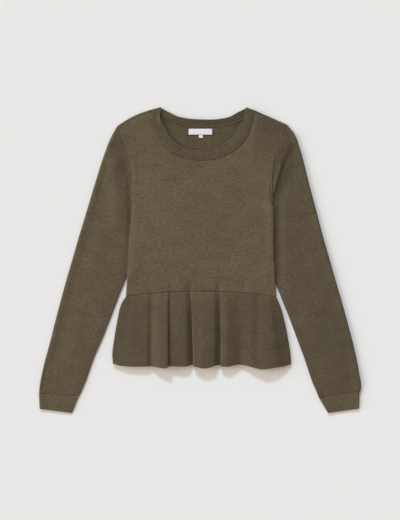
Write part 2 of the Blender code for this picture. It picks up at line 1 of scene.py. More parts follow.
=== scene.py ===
import bmesh
import bpy
import numpy as np
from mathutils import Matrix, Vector


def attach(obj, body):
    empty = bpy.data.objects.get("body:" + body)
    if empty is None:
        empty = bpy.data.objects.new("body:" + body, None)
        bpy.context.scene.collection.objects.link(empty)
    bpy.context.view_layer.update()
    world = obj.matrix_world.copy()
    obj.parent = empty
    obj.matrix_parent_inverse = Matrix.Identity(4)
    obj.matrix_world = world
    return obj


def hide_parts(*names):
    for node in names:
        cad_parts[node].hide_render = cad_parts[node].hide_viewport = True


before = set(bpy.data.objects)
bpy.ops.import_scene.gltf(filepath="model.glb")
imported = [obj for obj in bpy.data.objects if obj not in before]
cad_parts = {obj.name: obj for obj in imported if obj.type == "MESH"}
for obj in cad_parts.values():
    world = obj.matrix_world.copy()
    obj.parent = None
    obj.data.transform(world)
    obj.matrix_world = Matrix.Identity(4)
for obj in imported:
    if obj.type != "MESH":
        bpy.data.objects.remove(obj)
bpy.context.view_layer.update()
print("frame loaded")

# everything is laid out in mm and turned into metres when a mesh is made
mm = 0.001
wall = 1.4  # thickness of the knit
gap = 0.12  # between neighbouring pieces at a seam
floorZ = wall / 2  # middle of a cloth that lies on the floor
overBack = floorZ + wall + 0.05  # middle of a cloth that lies on the back
chestZ = 3.4
shoulderZ = 3.2
shoulderWrap = 4.6  # how far the back comes over the shoulders
roll = 3.0  # how far in a rolled edge reaches
leftBow = 4.0  # how far the left shoulder bows out
leftBowReach = 40.0  # and how far down that fades
mergeReach = 0.004  # points nearer than this are one

# the neck, from the left shoulder to the right
frontNeck = [
    (-98.5, 292.0), (-93.5, 268.0), (-85.0, 248.5), (-66.0, 227.5), (-42.0, 215.0), (-2.0, 208.0),
    (44.0, 213.5), (76.0, 230.0), (94.0, 248.0), (105.5, 270.5), (112.0, 292.5),
]
frontFreeEdge = [
    (-84.0, 301.5), (-76.0, 281.5), (-65.0, 262.0), (-50.0, 246.0), (-32.5, 235.5), (-1.0, 230.5),
    (31.5, 235.0), (55.5, 246.0), (72.0, 262.5), (83.0, 280.0), (91.0, 294.5),
]
backNeck = [
    (-92.0, 306.5), (-79.5, 297.5), (-65.0, 291.0), (-33.0, 281.5), (7.5, 278.5), (55.5, 281.5),
    (80.0, 288.0), (92.5, 296.0), (105.0, 304.5),
]
backFreeEdge = [
    (-66.5, 310.5), (-48.5, 301.5), (-24.5, 296.5), (7.5, 294.5), (39.5, 295.5), (63.5, 301.0),
    (80.5, 310.5),
]

# armhole seams as x at these heights, from the shoulder to the underarm
armholeY = [259.5, 235.5, 203.5, 166.0, 126.0, 107.0, 94.5, 88.0]
# each side: the shoulder and the armhole, then how the sleeve is pressed under the body (from how far
# outside its edge, how softly, and below what height) and how much of the rise its inner edge has
left = dict(
    name="left", sign=-1, tip=(-173.5, 281.0), neckCorner=(-102.5, 315.5), bandTip=(-82.5, 320.9),
    armholeZ=[3.2, 3.5, 3.9, 4.2, 4.0, 3.3, 2.8, 2.6, 2.6],
    front=[-166.0, -157.5, -148.5, -143.5, -143.0, -136.5, -124.0, -111.0],
    back=[-167.0, -157.0, -146.5, -137.5, -127.0, -119.5, -114.5, -111.0],
    pressFrom=10, pressSoft=8, pressTop=132, innerRise=-0.4,
)
right = dict(
    name="right", sign=1, tip=(181.7, 284.5), neckCorner=(117.5, 313.0), bandTip=(96.6, 320.5),
    armholeZ=[3.2, 4.8, 6.8, 8.2, 7.6, 2.8, 2.6, 2.6, 2.6],
    front=[173.5, 163.0, 154.0, 151.0, 153.5, 145.0, 128.0, 111.0],
    back=[174.0, 163.5, 151.5, 141.0, 129.5, 120.5, 114.5, 111.0],
    pressFrom=24, pressSoft=19, pressTop=146, innerRise=1.0,
)


# curves

def ease(share):
    share = np.clip(share, 0.0, 1.0)
    return share * share * (3.0 - 2.0 * share)


def bell(distance, width):
    return np.exp(-((distance / width) ** 2))


def unit(vector):
    return vector / np.linalg.norm(vector)


def between(first, last, share):
    return first + (last - first) * share


def curve(knots, values, at, settle=False):
    # smooth through every value; with settle it never swings past them
    knots, values, at = (np.asarray(item, float) for item in (knots, values, at))
    flat = values.reshape(len(values), -1)
    if settle:
        steps = np.diff(flat, axis=0) / np.diff(knots)[:, None]
        product = steps[:-1] * steps[1:]
        total = steps[:-1] + steps[1:]
        inner = np.where(product > 0, 2 * product / np.where(product > 0, total, 1), 0)
        slopes = np.vstack([steps[:1], inner, steps[-1:]])
    else:
        slopes = np.gradient(flat, knots, axis=0)
    low = np.clip(np.searchsorted(knots, at, side="right") - 1, 0, len(knots) - 2)
    span = (knots[low + 1] - knots[low])[:, None]
    share = (at - knots[low])[:, None] / span
    made = (
        flat[low] * (1 + 2 * share) * (1 - share) ** 2
        + slopes[low] * span * share * (1 - share) ** 2
        + flat[low + 1] * share**2 * (3 - 2 * share)
        + slopes[low + 1] * span * share**2 * (share - 1)
    )
    return made.reshape((len(at),) + values.shape[1:])


def distances(points):
    return np.concatenate([[0], np.cumsum(np.linalg.norm(np.diff(points, axis=0), axis=1))])


def lineAt(points, shares):
    # a smooth line through the points, at shares of its length
    points = np.array(points, float)
    along = distances(points)
    fine = curve(along, points, np.linspace(0, along[-1], 60 * len(points)))
    length = distances(fine)
    places = np.asarray(shares) * length[-1]
    return np.stack([np.interp(places, length, column) for column in fine.T], axis=1)


def movedLeft(points, by):
    # the line moved to its left-hand side
    direction = np.gradient(points, axis=0)
    direction /= np.linalg.norm(direction, axis=1)[:, None]
    return points + by * np.stack([-direction[:, 1], direction[:, 0]], axis=1)


def wander(x, seed, reach, steps=6):
    # a slow uneven line, about 1 high
    draw = np.random.default_rng(seed)
    total = 0
    for number in range(1, steps + 1):
        total = total + draw.normal() / number * np.sin(x / reach * number * 2.1 + draw.uniform(0, 6.28))
    return total / 1.6


def clothUv(run, down):
    # across the cloth and down it, in mm
    return np.stack(np.meshgrid(run, down), axis=2)


# the cloth as a mesh

def shoulderFrame(side):
    # the way up the shoulder to the neck, and the way from it into the cloth
    along = unit(np.array(side["neckCorner"]) - np.array(side["tip"]))
    return along, np.array([-along[1], along[0]]) * side["sign"]


def bowed(rows):
    # the left shoulder bows out between the neck and its tip
    along, inward = shoulderFrame(left)
    reach = np.linalg.norm(np.array(left["neckCorner"]) - np.array(left["tip"]))
    offset = rows[..., :2] - np.array(left["tip"])
    share = np.clip(offset @ along / reach, 0, 1)
    amount = leftBow * np.sin(np.pi * share) * bell(np.maximum(offset @ inward, 0), leftBowReach)
    rows[..., :2] -= amount[..., None] * inward
    return rows


def addPaintedShade(mesh, paintedShades):
    # painted light and shade, as slow changes of tone: middle, reach, and how much lighter or darker
    paintedShade = mesh.attributes.new("PaintedShade", "FLOAT", "POINT")
    for vertex, item in zip(mesh.vertices, paintedShade.data):
        x, y = vertex.co.x / mm, vertex.co.y / mm
        item.value = 1 + sum(
            amount * bell(x - middleX, reachX) * bell(y - middleY, reachY)
            for middleX, middleY, reachX, reachY, amount in paintedShades)


def plainUv(rows):
    # the run along each row from its middle column, and the height in plan
    middle = (rows.shape[1] - 1) // 2
    run = np.linalg.norm(np.diff(rows, axis=1), axis=2).cumsum(axis=1)
    run = np.concatenate([np.zeros((len(rows), 1)), run], axis=1)
    run -= run[:, middle:middle + 1]
    return np.stack([run, rows[:, :, 1]], axis=2)


def clothMesh(name, rows, uv, cut):
    # a grid with a vertex at every point of the rows, and holes where cut says so
    lastRow, lastColumn = rows.shape[0] - 1, rows.shape[1] - 1
    sheet = bmesh.new()
    bmesh.ops.create_grid(sheet, x_segments=lastColumn, y_segments=lastRow, size=1)
    layer = sheet.loops.layers.uv.new("Cloth")
    for vertex in sheet.verts:
        column = round((vertex.co.x + 1) / 2 * lastColumn)
        row = round((1 - vertex.co.y) / 2 * lastRow)
        vertex.index = row * (lastColumn + 1) + column
    doomed = []
    for face in sheet.faces:
        cells = [divmod(corner.vert.index, lastColumn + 1) for corner in face.loops]
        for corner, (row, column) in zip(face.loops, cells):
            corner[layer].uv = uv[row, column] * mm
        face.smooth = True
        if cut and cut(min(cell[0] for cell in cells), min(cell[1] for cell in cells)):
            doomed.append(face)
    flat = rows.reshape(-1, 3) * mm
    for vertex in sheet.verts:
        vertex.co = flat[vertex.index]
    if doomed:
        bmesh.ops.delete(sheet, geom=doomed, context="FACES")
    bmesh.ops.remove_doubles(sheet, verts=sheet.verts, dist=mergeReach * mm)
    mesh = bpy.data.meshes.new(name)
    sheet.to_mesh(mesh)
    sheet.free()
    return mesh


def makeCloth(info, rows, surface, uv=None, cut=None, outside=None):
    # rows[r][c] are points in mm in the middle of the cloth
    rows = bowed(np.array(rows, float))
    mesh = clothMesh(info["name"], rows, plainUv(rows) if uv is None else uv, cut)
    mesh.materials.append(surface)
    addPaintedShade(mesh, info.get("paintedShades", []))
    piece = bpy.data.objects.new(info["name"], mesh)
    bpy.context.scene.collection.objects.link(piece)
    thick = piece.modifiers.new("Wall", "SOLIDIFY")
    thick.thickness = info.get("thickness", wall) * mm
    thick.offset = 0.0
    if outside:
        mesh.materials.append(outside)
        thick.material_offset = 1
    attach(piece, "root")
    print(info["name"], len(mesh.polygons), "faces")
    return piece


def refine(rows, knots, at):
    # more rows between the given ones
    return curve(knots, np.asarray(rows, float), at, settle=True)


# materials

knitLook = dict(
    fuzzScale=260, fuzzHeight=1.6, fuzzTone=0.95,
    yarnScale=1400, yarnHeight=1.2, yarnTone=0.5,
    patchScale=42, patchTone=0.42,
    lean=1.3, legHeight=0.35, paintedGrooveShade=0.16,
    bump=0.55, roughness=0.95, specular=0.15,
    sheen=0.12, sheenRoughness=0.6, sheenTint=(0.9, 0.8, 0.65, 1),
)
labelLook = dict(weaveScale=900, bump=0.3, depth=0.0001, roughness=0.55)
fullTurn = 2 * np.pi


def node(tree, kind, **settings):
    made = tree.nodes.new(kind)
    for key, value in settings.items():
        setattr(made, key, value)
    return made


def maths(tree, operation, first, second=None):
    made = node(tree, "ShaderNodeMath", operation=operation)
    for socket, value in zip(made.inputs, (first, second)):
        if value is None:
            continue
        if isinstance(value, (int, float)):
            socket.default_value = value
        else:
            tree.links.new(value, socket)
    return made.outputs[0]


def noise(tree, place, scale, detail):
    made = node(tree, "ShaderNodeTexNoise")
    made.inputs["Scale"].default_value = scale
    made.inputs["Detail"].default_value = detail
    tree.links.new(place, made.inputs["Vector"])
    return made.outputs[0]


def flecked(tree, tone, pattern, middle, amount):
    # the tone goes up and down with a pattern around its middle
    return maths(tree, "ADD", tone, maths(tree, "MULTIPLY", maths(tree, "SUBTRACT", pattern, middle), amount))


def addBump(tree, shader, height, strength, depth):
    bump = node(tree, "ShaderNodeBump")
    bump.inputs["Strength"].default_value = strength
    bump.inputs["Distance"].default_value = depth
    tree.links.new(height, bump.inputs["Height"])
    tree.links.new(bump.outputs[0], shader.inputs["Normal"])


def knitMaterial(name, colour, wale, course, depth):
    look = knitLook
    made = bpy.data.materials.new(name)
    made.use_nodes = True
    tree = made.node_tree
    shader = tree.nodes["Principled BSDF"]
    place = node(tree, "ShaderNodeUVMap", uv_map="Cloth")
    parts = node(tree, "ShaderNodeSeparateXYZ")
    tree.links.new(place.outputs["UV"], parts.inputs[0])
    # the legs of each stitch lean to the middle of its wale
    across = maths(tree, "MULTIPLY", parts.outputs["X"], 1 / wale)
    down = maths(tree, "MULTIPLY", parts.outputs["Y"], 1 / course)
    inside = maths(tree, "SUBTRACT", maths(tree, "FRACT", across), 0.5)
    lean = maths(tree, "MULTIPLY", maths(tree, "ABSOLUTE", inside), look["lean"])
    legs = maths(tree, "SINE", maths(tree, "MULTIPLY", maths(tree, "ADD", down, lean), fullTurn))
    hollow = maths(tree, "ABSOLUTE", maths(tree, "SINE", maths(tree, "MULTIPLY", across, fullTurn)))
    # flecks are twice as wide as high
    stretch = node(tree, "ShaderNodeVectorMath", operation="MULTIPLY")
    stretch.inputs[1].default_value = (0.5, 1.0, 1.0)
    tree.links.new(place.outputs["UV"], stretch.inputs[0])
    yarn = noise(tree, stretch.outputs[0], look["yarnScale"], 3)
    fuzz = noise(tree, stretch.outputs[0], look["fuzzScale"], 4)
    patch = noise(tree, stretch.outputs[0], look["patchScale"], 2)
    height = maths(tree, "ADD", maths(tree, "MULTIPLY", legs, look["legHeight"]), hollow)
    height = maths(tree, "ADD", height, maths(tree, "MULTIPLY", yarn, look["yarnHeight"]))
    height = maths(tree, "ADD", height, maths(tree, "MULTIPLY", fuzz, look["fuzzHeight"]))
    addBump(tree, shader, height, look["bump"], depth)
    # heathered yarn: dark and light flecks, and slow patches; then painted shade and highlight on the knit:
    # darker where its bump is low, lighter where it is high
    tone = flecked(tree, 1.0, fuzz, 0.5, look["fuzzTone"])
    tone = flecked(tree, tone, yarn, 0.5, look["yarnTone"])
    tone = flecked(tree, tone, patch, 0.5, look["patchTone"])
    tone = flecked(tree, tone, hollow, 0.6, look["paintedGrooveShade"])
    # each piece's painted light and shade scales the tone here
    paintedShade = node(tree, "ShaderNodeAttribute", attribute_name="PaintedShade")
    tone = maths(tree, "MULTIPLY", tone, paintedShade.outputs["Fac"])
    grey = node(tree, "ShaderNodeCombineColor")
    for socket in grey.inputs:
        tree.links.new(tone, socket)
    mix = node(tree, "ShaderNodeMix", data_type="RGBA", blend_type="MULTIPLY")
    mix.inputs["Factor"].default_value = 1.0
    mix.inputs["A"].default_value = (*colour, 1)
    tree.links.new(grey.outputs[0], mix.inputs["B"])
    tree.links.new(mix.outputs["Result"], shader.inputs["Base Color"])
    shader.inputs["Roughness"].default_value = look["roughness"]
    shader.inputs["Specular IOR Level"].default_value = look["specular"]
    shader.inputs["Sheen Weight"].default_value = look["sheen"]
    shader.inputs["Sheen Roughness"].default_value = look["sheenRoughness"]
    shader.inputs["Sheen Tint"].default_value = look["sheenTint"]
    return made


def wovenMaterial(name, colour):
    look = labelLook
    made = bpy.data.materials.new(name)
    made.use_nodes = True
    tree = made.node_tree
    shader = tree.nodes["Principled BSDF"]
    place = node(tree, "ShaderNodeUVMap", uv_map="Cloth")
    weave = node(tree, "ShaderNodeTexWave", wave_type="BANDS", bands_direction="Y")
    weave.inputs["Scale"].default_value = look["weaveScale"]
    weave.inputs["Distortion"].default_value = 1.0
    tree.links.new(place.outputs["UV"], weave.inputs["Vector"])
    addBump(tree, shader, weave.outputs["Fac"], look["bump"], look["depth"])
    shader.inputs["Base Color"].default_value = (*colour, 1)
    shader.inputs["Roughness"].default_value = look["roughness"]
    return made


# width and height of a stitch and its depth, in metres
jersey = dict(wale=0.0018, course=0.0014, depth=0.0003)
fineJersey = dict(wale=0.0014, course=0.0012, depth=0.00025)
oneByOne = dict(wale=0.0012, course=0.0014, depth=0.0002)
# olive_knit is the knit's own colour; the sleeve, right sleeve, peplum and neck rib copies are darker as
# painted shade (the wales' angle to the light, the light falling off to the right, shade between the neck's
# ribs), and the inside is darker partly for its purl side and partly as painted shade under the neck
knit = knitMaterial("olive_knit", (0.119, 0.0895, 0.0545), **jersey)
knitInside = knitMaterial("olive_knit_inside", (0.092, 0.0715, 0.0425), **jersey)
knitSleeve = knitMaterial("olive_knit_sleeve", (0.112, 0.085, 0.0505), **jersey)
knitSleeveRightPaintedShade = knitMaterial("olive_knit_sleeve_right", (0.096, 0.0755, 0.0445), **jersey)
knitPeplum = knitMaterial("olive_knit_peplum", (0.094, 0.0725, 0.0425), **fineJersey)
ribNeck = knitMaterial("olive_rib_neck", (0.093, 0.0725, 0.0425), **oneByOne)
rib = knitMaterial("olive_rib", (0.113, 0.0895, 0.0545), **oneByOne)
woven = wovenMaterial("white_label", (0.74, 0.715, 0.735))
print("materials ready")


# shoulders and neck

def wrap(place, inward, topZ=shoulderZ, steps=10):
    # the cloth that turns over an edge, from the seam on top round to the underside
    middle, rise = (topZ + floorZ) / 2, (topZ - floorZ) / 2
    points = [(*(place + inward * (shoulderWrap - gap / 2)), topZ)]
    for angle in np.linspace(np.pi / 2, -np.pi / 2, steps + 1):
        inset = wall / 2 + (roll - wall / 2) * (1 - np.cos(angle))
        points.append((*(place + inward * inset), middle + rise * np.sin(angle)))
    return np.array(points)


def shoulderTip(side, inset, alongBy=0.0):
    along, inward = shoulderFrame(side)
    return np.array(side["tip"]) + inward * inset + along * alongBy


def neckLine(middle, corner, inset, shares):
    ends = [np.array(side[corner]) + shoulderFrame(side)[1] * inset for side in (left, right)]
    return lineAt([tuple(ends[0]), *middle, tuple(ends[1])], shares)


def armhole(side, xs, inset):
    return np.vstack([shoulderTip(side, inset), np.column_stack([xs, armholeY])])


# columns of the front and the back, as shares of the width: the neck's, and those beside it
neckSteps = 96
neckShares = np.linspace(0, 1, neckSteps + 1)
lowShare, highShare = 0.14, 0.86
neckColumns = between(lowShare, highShare, neckShares)
innerColumns = np.concatenate([
    np.linspace(0.04, lowShare, 11)[:-1], neckColumns, np.linspace(highShare, 0.96, 11)[1:],
])
patchRows = 5  # rows of the armhole that reach the neck as well
edgeFade = 8  # the higher, the closer to the edges the armholes' curve stays


def patchRow(ends, neck, leftLine, rightLine, number, places):
    # a row between the neck above and the armholes at both sides
    shares = np.concatenate([[0], neckColumns, [1]])
    line = np.vstack([ends[0], neck, ends[1]])
    top = np.stack([np.interp(places, shares, column) for column in line.T], axis=1)
    lastLeft, lastRight = leftLine[patchRows], rightLine[patchRows]
    across = places[:, None]
    down = (leftLine[0][1] - leftLine[number][1]) / (leftLine[0][1] - lastLeft[1])
    row = between(top, between(lastLeft, lastRight, across), np.array([down**1.5, down]))
    return (
        row + (leftLine[number] - row[0]) * (1 - across) ** edgeFade
        + (rightLine[number] - row[-1]) * across**edgeFade
    )


# the body: y, its edges, its side seams underneath, and the heights of the cloth turned under,
# of the seam and of the top
body = [
    (203.5, -148.5, 154.0, -148.5, 154.0, 4.4, 4.4, 4.5),
    (166.0, -143.5, 151.0, -143.5, 151.0, 5.2, 5.2, 5.7),
    (126.0, -143.0, 153.5, -143.0, 153.5, 2.8, 2.8, 7.6),
    (107.0, -143.0, 154.8, -136.5, 145.0, 4.6, 4.6, 8.8),
    (94.5, -143.5, 155.4, -124.0, 128.0, 4.7, 4.7, 9.0),
    (88.0, -144.0, 155.6, -109.5, 109.5, 4.7, 4.7, 9.0),
    (77.0, -145.0, 155.6, -107.0, 107.0, 4.7, 3.5, 9.0),
    (66.0, -146.0, 155.5, -106.0, 106.0, 4.5, 0.7, 8.9),
    (42.0, -148.0, 155.3, -116.0, 117.0, 4.5, 0.7, 8.9),
    (20.0, -149.5, 155.4, -124.0, 124.5, 4.5, 0.7, 8.8),
    (-4.0, -150.5, 156.0, -132.5, 132.8, 4.5, 0.7, 8.6),
    (-26.0, -152.5, 157.0, -138.5, 140.0, 4.5, 0.7, 8.2),
    (-46.0, -153.5, 158.0, -138.5, 141.5, 4.0, 0.7, 7.3),
    (-60.0, -154.5, 158.8, -144.5, 148.5, 1.6, 0.7, 5.7),
    (-77.0, -155.5, 159.5, -151.8, 155.8, 0.7, 0.7, 4.7),
]
openRows = 3  # rows of the armhole above the first row of the table
underarmRow = 5  # the table's row at the underarm
waistArch = 11.0  # how far the waist seam rises to its middle


def waistY(x):
    # the waist seam, highest in the middle
    y, low, high = body[-1][:3]
    middle, half = (low + high) / 2, (high - low) / 2
    return y + waistArch * np.clip(1 - ((x - middle) / half) ** 2, 0, 1)


def rowY(section, x):
    return waistY(x) + gap / 2 if section is body[-1] else np.full(len(x), section[0])


lapSteps, rollSteps = 6, 9
firmInsets = (4.5, 6.5, 9.0)  # columns on top, just inside the edge
openInsets = np.linspace(0, firmInsets[-1], 1 + lapSteps + rollSteps + len(firmInsets))


def turnedEdge(lap, lapZ, seamZ, crownZ):
    # insets and heights from the side seam underneath, round the edge and onto the top
    middle, rise = (crownZ + lapZ) / 2, (crownZ - lapZ) / 2
    if lap <= 0.3:
        # nothing is turned under
        angles = np.arccos(np.clip(1 - openInsets / (roll - wall / 2), 0, 1))
        return np.column_stack([openInsets, middle + rise * np.sin(angles)])
    flat = min(1.0, (lap - roll) / 3)
    climb = min(8.0, (lap - roll) / 2)
    columns = [(lap, seamZ)]
    for share in np.linspace(0, 1, lapSteps):
        columns.append((lap - flat - climb * share, between(seamZ, lapZ, share)))
    for angle in np.linspace(-np.pi / 2, np.pi / 2, rollSteps):
        columns.append((wall / 2 + (roll - wall / 2) * (1 - np.cos(angle)), middle + rise * np.sin(angle)))
    columns += [(inset, crownZ) for inset in firmInsets]
    return np.array(columns)


# a crease is listed by its two ends, its width or widths, and how high it stands
frontInfo = dict(
    name="front_cloth", flat=(0.42, 0.40), area=0.110,
    # painted shade darkens the right shoulder and the right of the chest; painted light lightens the left of
    # the chest
    paintedShades=[(150, 290, 48, 42, -0.21), (-105, 110, 45, 110, 0.09), (60, 130, 80, 110, -0.03)],
    crownShare=0.75, crownReach=24.0, lapSoft=10,  # how the edges' height goes on into the middle
    rows=150, seamRows=[0.0, 0.5, 1.1, 1.9, 3.0, 4.5], afterSeam=6.5,
    neckDip=(0.6, 1.2), neckDipFade=(74, 26), waistDip=(1.8, 1.5), waistReach=17.0,
    creases=[
        ((119, 307), (180, 281.5), 1.5, -0.7),
        ((-44, -60), (-46, -40), 8.0, 0.5),
        ((92, -66), (88, -42), 7.0, -0.6),
        ((-112, -68), (-108, -46), 7.0, -0.5),
        ((128, 96), (96, 60), 12.0, -0.8),
        ((-120, 92), (-92, 58), 12.0, -0.7),
        ((-70, 190), (-112, 150), 16.0, 0.6),
        ((78, 190), (118, 150), 16.0, 0.6),
        ((-20, 150), (30, 120), 30.0, 0.7),
        ((-60, 40), (40, 20), 26.0, -0.6),
        ((-143, 170), (-143, 90), 7.0, -1.6),
        ((-143, 80), (-151, -20), 7.0, -1.6),
        ((148, 146), (150, 10), (9.0, 4.5), 1.9),
        ((-141, 205), (-139, 130), (4.0, 8.0), 1.2),
        ((60, 70), (110, 20), 18.0, 0.6),
    ],
)


def creased(rows, creases):
    # soft troughs and ridges to add to the height of the points
    x, y = rows[..., 0], rows[..., 1]
    total = np.zeros(x.shape)
    for (x0, y0), (x1, y1), widths, depth in creases:
        start, way = np.array([x0, y0]), np.array([x1 - x0, y1 - y0], float)
        length = np.linalg.norm(way)
        way /= length
        along = (x - start[0]) * way[0] + (y - start[1]) * way[1]
        aside = (x - start[0]) * -way[1] + (y - start[1]) * way[0]
        past = np.maximum(np.maximum(-along, along - length), 0)
        leftWidth, rightWidth = np.broadcast_to(widths, 2)
        width = np.where(aside < 0, leftWidth, rightWidth)
        total += depth * bell(aside, width) * bell(past, leftWidth * 1.2)
    return total


def frontRow(low, high, lowSeam, highSeam, lapZ, seamZ, crownZ):
    # places across the row as shares of its width, and the height at each
    width = high - low
    laps = lowSeam - low, high - highSeam
    strips = [turnedEdge(lap, lapZ, seamZ, crownZ) for lap in laps]
    fromLap = np.minimum(
        innerColumns * width - max(laps[0] - frontInfo["lapSoft"], roll),
        (1 - innerColumns) * width - max(laps[1] - frontInfo["lapSoft"], roll))
    base = between(chestZ, crownZ, frontInfo["crownShare"])
    heights = base + (crownZ - base) * bell(np.maximum(fromLap, 0), frontInfo["crownReach"])
    return (
        np.concatenate([strips[0][:, 0] / width, innerColumns, 1 - strips[1][::-1, 0] / width]),
        np.concatenate([strips[0][:, 1], heights, strips[1][::-1, 1]]),
    )


def frontTopRows(rows, knots, neck, leftLine, rightLine):
    # from the shoulders down the armholes, where the right side stands higher
    for number in range(patchRows + 1):
        lapZ, seamZ, crownZ = body[max(number - openRows, 0)][5:]
        if number < openRows:
            lapZ = seamZ = crownZ = left["armholeZ"][number]
        low, high = leftLine[number][0], rightLine[number][0]
        places, heights = frontRow(low, high, low, high, lapZ, seamZ, crownZ)
        if number > 0:
            lift = right["armholeZ"][number] - left["armholeZ"][number]
            heights = heights + lift * ease((places - 0.5) / 0.5)
        plan = patchRow((leftLine[0], rightLine[0]), neck, leftLine, rightLine, number, places)
        rows.append(np.column_stack([plan, heights]))
        knots.append(-leftLine[number][1])


def addFrontRelief(made, neck):
    info = frontInfo
    x, y = made[..., 0], made[..., 1]
    # the cloth rounds down into its seams
    depth, width = info["neckDip"]
    fadeFrom, fadeWidth = info["neckDipFade"]
    fade = 1 - 0.7 * ease((x - fadeFrom) / fadeWidth)
    neckDip = -depth * bell(np.maximum(toLine(made, neck), 0), width) * fade
    depth, width = info["waistDip"]
    above = np.maximum(y - waistY(x), 0)
    waistDip = -depth * bell(above, width) + waistRise(x) * bell(above, info["waistReach"])
    # all of it on top, none on the part turned under, which stays flat
    under, climb, firm = np.zeros(1 + lapSteps), np.linspace(0, 1, rollSteps), np.ones(len(firmInsets))
    top = np.concatenate([under, climb, firm, np.ones(len(innerColumns)), firm, climb[::-1], under])
    heights = made[..., 2]
    heights += top * (neckDip + waistDip + creased(made, info["creases"]) + chestDome(x, y))
    # it never sinks into the floor or into the back
    np.maximum(heights, floorZ, out=heights)
    turned = 1 + lapSteps + rollSteps
    inner = heights[:, turned:-turned]
    np.maximum(inner, overBack, out=inner)


def frontPanel():
    info = frontInfo
    leftLine = movedLeft(armhole(left, left["front"], shoulderWrap), gap / 2)
    rightLine = movedLeft(armhole(right, right["front"], shoulderWrap), -gap / 2)
    neck = movedLeft(neckLine(frontNeck, "neckCorner", shoulderWrap, neckShares), -gap / 2)
    for line, end, side in ((leftLine, 0, left), (rightLine, 0, right), (neck, 0, left), (neck, -1, right)):
        line[end] = line[end] + shoulderFrame(side)[1] * gap / 2
    rows, knots = [], []
    frontTopRows(rows, knots, neck, leftLine, rightLine)
    for section in body[openRows:]:
        y, low, high, lowSeam, highSeam, lapZ, seamZ, crownZ = section
        places, heights = frontRow(low, high, lowSeam - gap / 2, highSeam + gap / 2, lapZ, seamZ, crownZ)
        x = between(low, high, places)
        rows.append(np.column_stack([x, rowY(section, x), heights]))
        knots.append(-y)
    near, start, end = np.array(info["seamRows"]), knots[0], knots[-1]
    inner = np.linspace(start + info["afterSeam"], end - info["afterSeam"], info["rows"])
    made = refine(rows, np.array(knots), np.concatenate([start + near, inner, end - near[::-1]]))
    addFrontRelief(made, neck)
    return made


def waistRise(x):
    # how far the waist seam stands over or under its level, from the folds below it
    tops = [folds[0][:2]]
    for fold in folds[1:]:
        if fold[0] > tops[-1][0] + 0.5:
            tops.append(fold[:2])
    return np.interp(x, [top[0] for top in tops], [top[1] for top in tops], left=0, right=0)


chestInfo = dict(middle=(6, 262), widen=1.25, reach=78.0, rise=2.2, fall=7.0)


def chestDome(x, y):
    # the front stands a little higher round the neck, most on the right, and falls to the shoulders
    middleX, middleY = chestInfo["middle"]
    fromMiddle = np.abs(x - middleX)
    away = np.hypot((x - middleX) / chestInfo["widen"], y - middleY)
    neck = bell(away, chestInfo["reach"]) * ease((y - 150) / 60)
    fall = chestInfo["fall"] * ease((x - 40) / 62) * ease((178 - x) / 76) * ease((y - 205) / 60)
    return fall + chestInfo["rise"] * neck * ease((fromMiddle - 20) / 60) * ease((170 - fromMiddle) / 50)


def toLine(rows, line):
    # distance in plan from every point to a line of points
    flat = rows[..., :2].reshape(-1, 2)
    best = np.full(len(flat), 1e9)
    for first, last in zip(line[:-1:2], line[2::2]):
        way = last - first
        share = np.clip(((flat - first) @ way) / (way @ way), 0, 1)
        best = np.minimum(best, np.linalg.norm(flat - first - share[:, None] * way, axis=1))
    return best.reshape(rows.shape[:-1])


backInfo = dict(
    name="back_cloth", flat=(0.37, 0.40), area=0.100,
    # painted shade darkens the right of the back's inside
    paintedShades=[(75, 270, 45, 40, -0.08)],
    fineReach=60, fineRows=40, plainRows=50,
)
backInsets = np.array([0.0, 0.8, 2.0, 4.0, 6.5, 9.0])
backColumns = innerColumns[::2]


def backRow(low, high):
    strip = backInsets / (high - low)
    return np.concatenate([strip, backColumns, 1 - strip[::-1]])


def backPanel():
    leftLine = movedLeft(armhole(left, left["back"], roll), gap / 2)
    rightLine = movedLeft(armhole(right, right["back"], roll), -gap / 2)
    leftLine[0], rightLine[0] = shoulderTip(left, roll, gap / 2), shoulderTip(right, roll, gap / 2)
    neck = movedLeft(neckLine(backNeck, "neckCorner", roll, neckShares), -gap / 2)
    for side, end in ((left, 0), (right, -1)):
        along, inward = shoulderFrame(side)
        neck[end] = np.array(side["neckCorner"]) + inward * roll - along * gap / 2
    rows, knots = [], []
    for number in range(patchRows + 1):
        places = backRow(leftLine[number][0], rightLine[number][0])
        plan = patchRow((leftLine[0], rightLine[0]), neck, leftLine, rightLine, number, places)
        rows.append(np.column_stack([plan, np.full(len(plan), floorZ)]))
        knots.append(-leftLine[number][1])
    for number, section in enumerate(body[openRows:], openRows):
        low, high = section[3] + gap / 2, section[4] - gap / 2
        if number < underarmRow:
            low, high = leftLine[number + openRows][0], rightLine[number + openRows][0]
        x = between(low, high, backRow(low, high))
        rows.append(np.column_stack([x, rowY(section, x), np.full(len(x), floorZ)]))
        knots.append(-section[0])
    start, turn, end = knots[0], knots[0] + backInfo["fineReach"], knots[-1]
    fine = np.linspace(start, turn, backInfo["fineRows"])
    plain = np.linspace(turn, end, backInfo["plainRows"])
    made = refine(rows, np.array(knots), np.concatenate([fine[:-1], plain]))
    return np.concatenate([shoulderFlaps(made[0]), made])


flapSteps = 10
shoulderColumns = len(backInsets) + 5


def shoulderFlaps(firstRow):
    # rows that carry the back over the shoulders; the part at the neck is cut away
    flaps = np.repeat(firstRow[None], flapSteps + 1, axis=0)
    for side, columns in (
        (left, range(shoulderColumns + 1)),
        (right, range(len(firstRow) - 1 - shoulderColumns, len(firstRow))),
    ):
        inward = shoulderFrame(side)[1]
        for column in columns:
            place = firstRow[column][:2] - inward * roll
            for row, point in enumerate(wrap(place, inward, steps=flapSteps)[:-1]):
                flaps[row][column] = point
    return flaps


def cutAtNeck(row, column):
    last = 2 * len(backInsets) + len(backColumns) - 1
    return row < flapSteps + 1 and shoulderColumns <= column < last - shoulderColumns


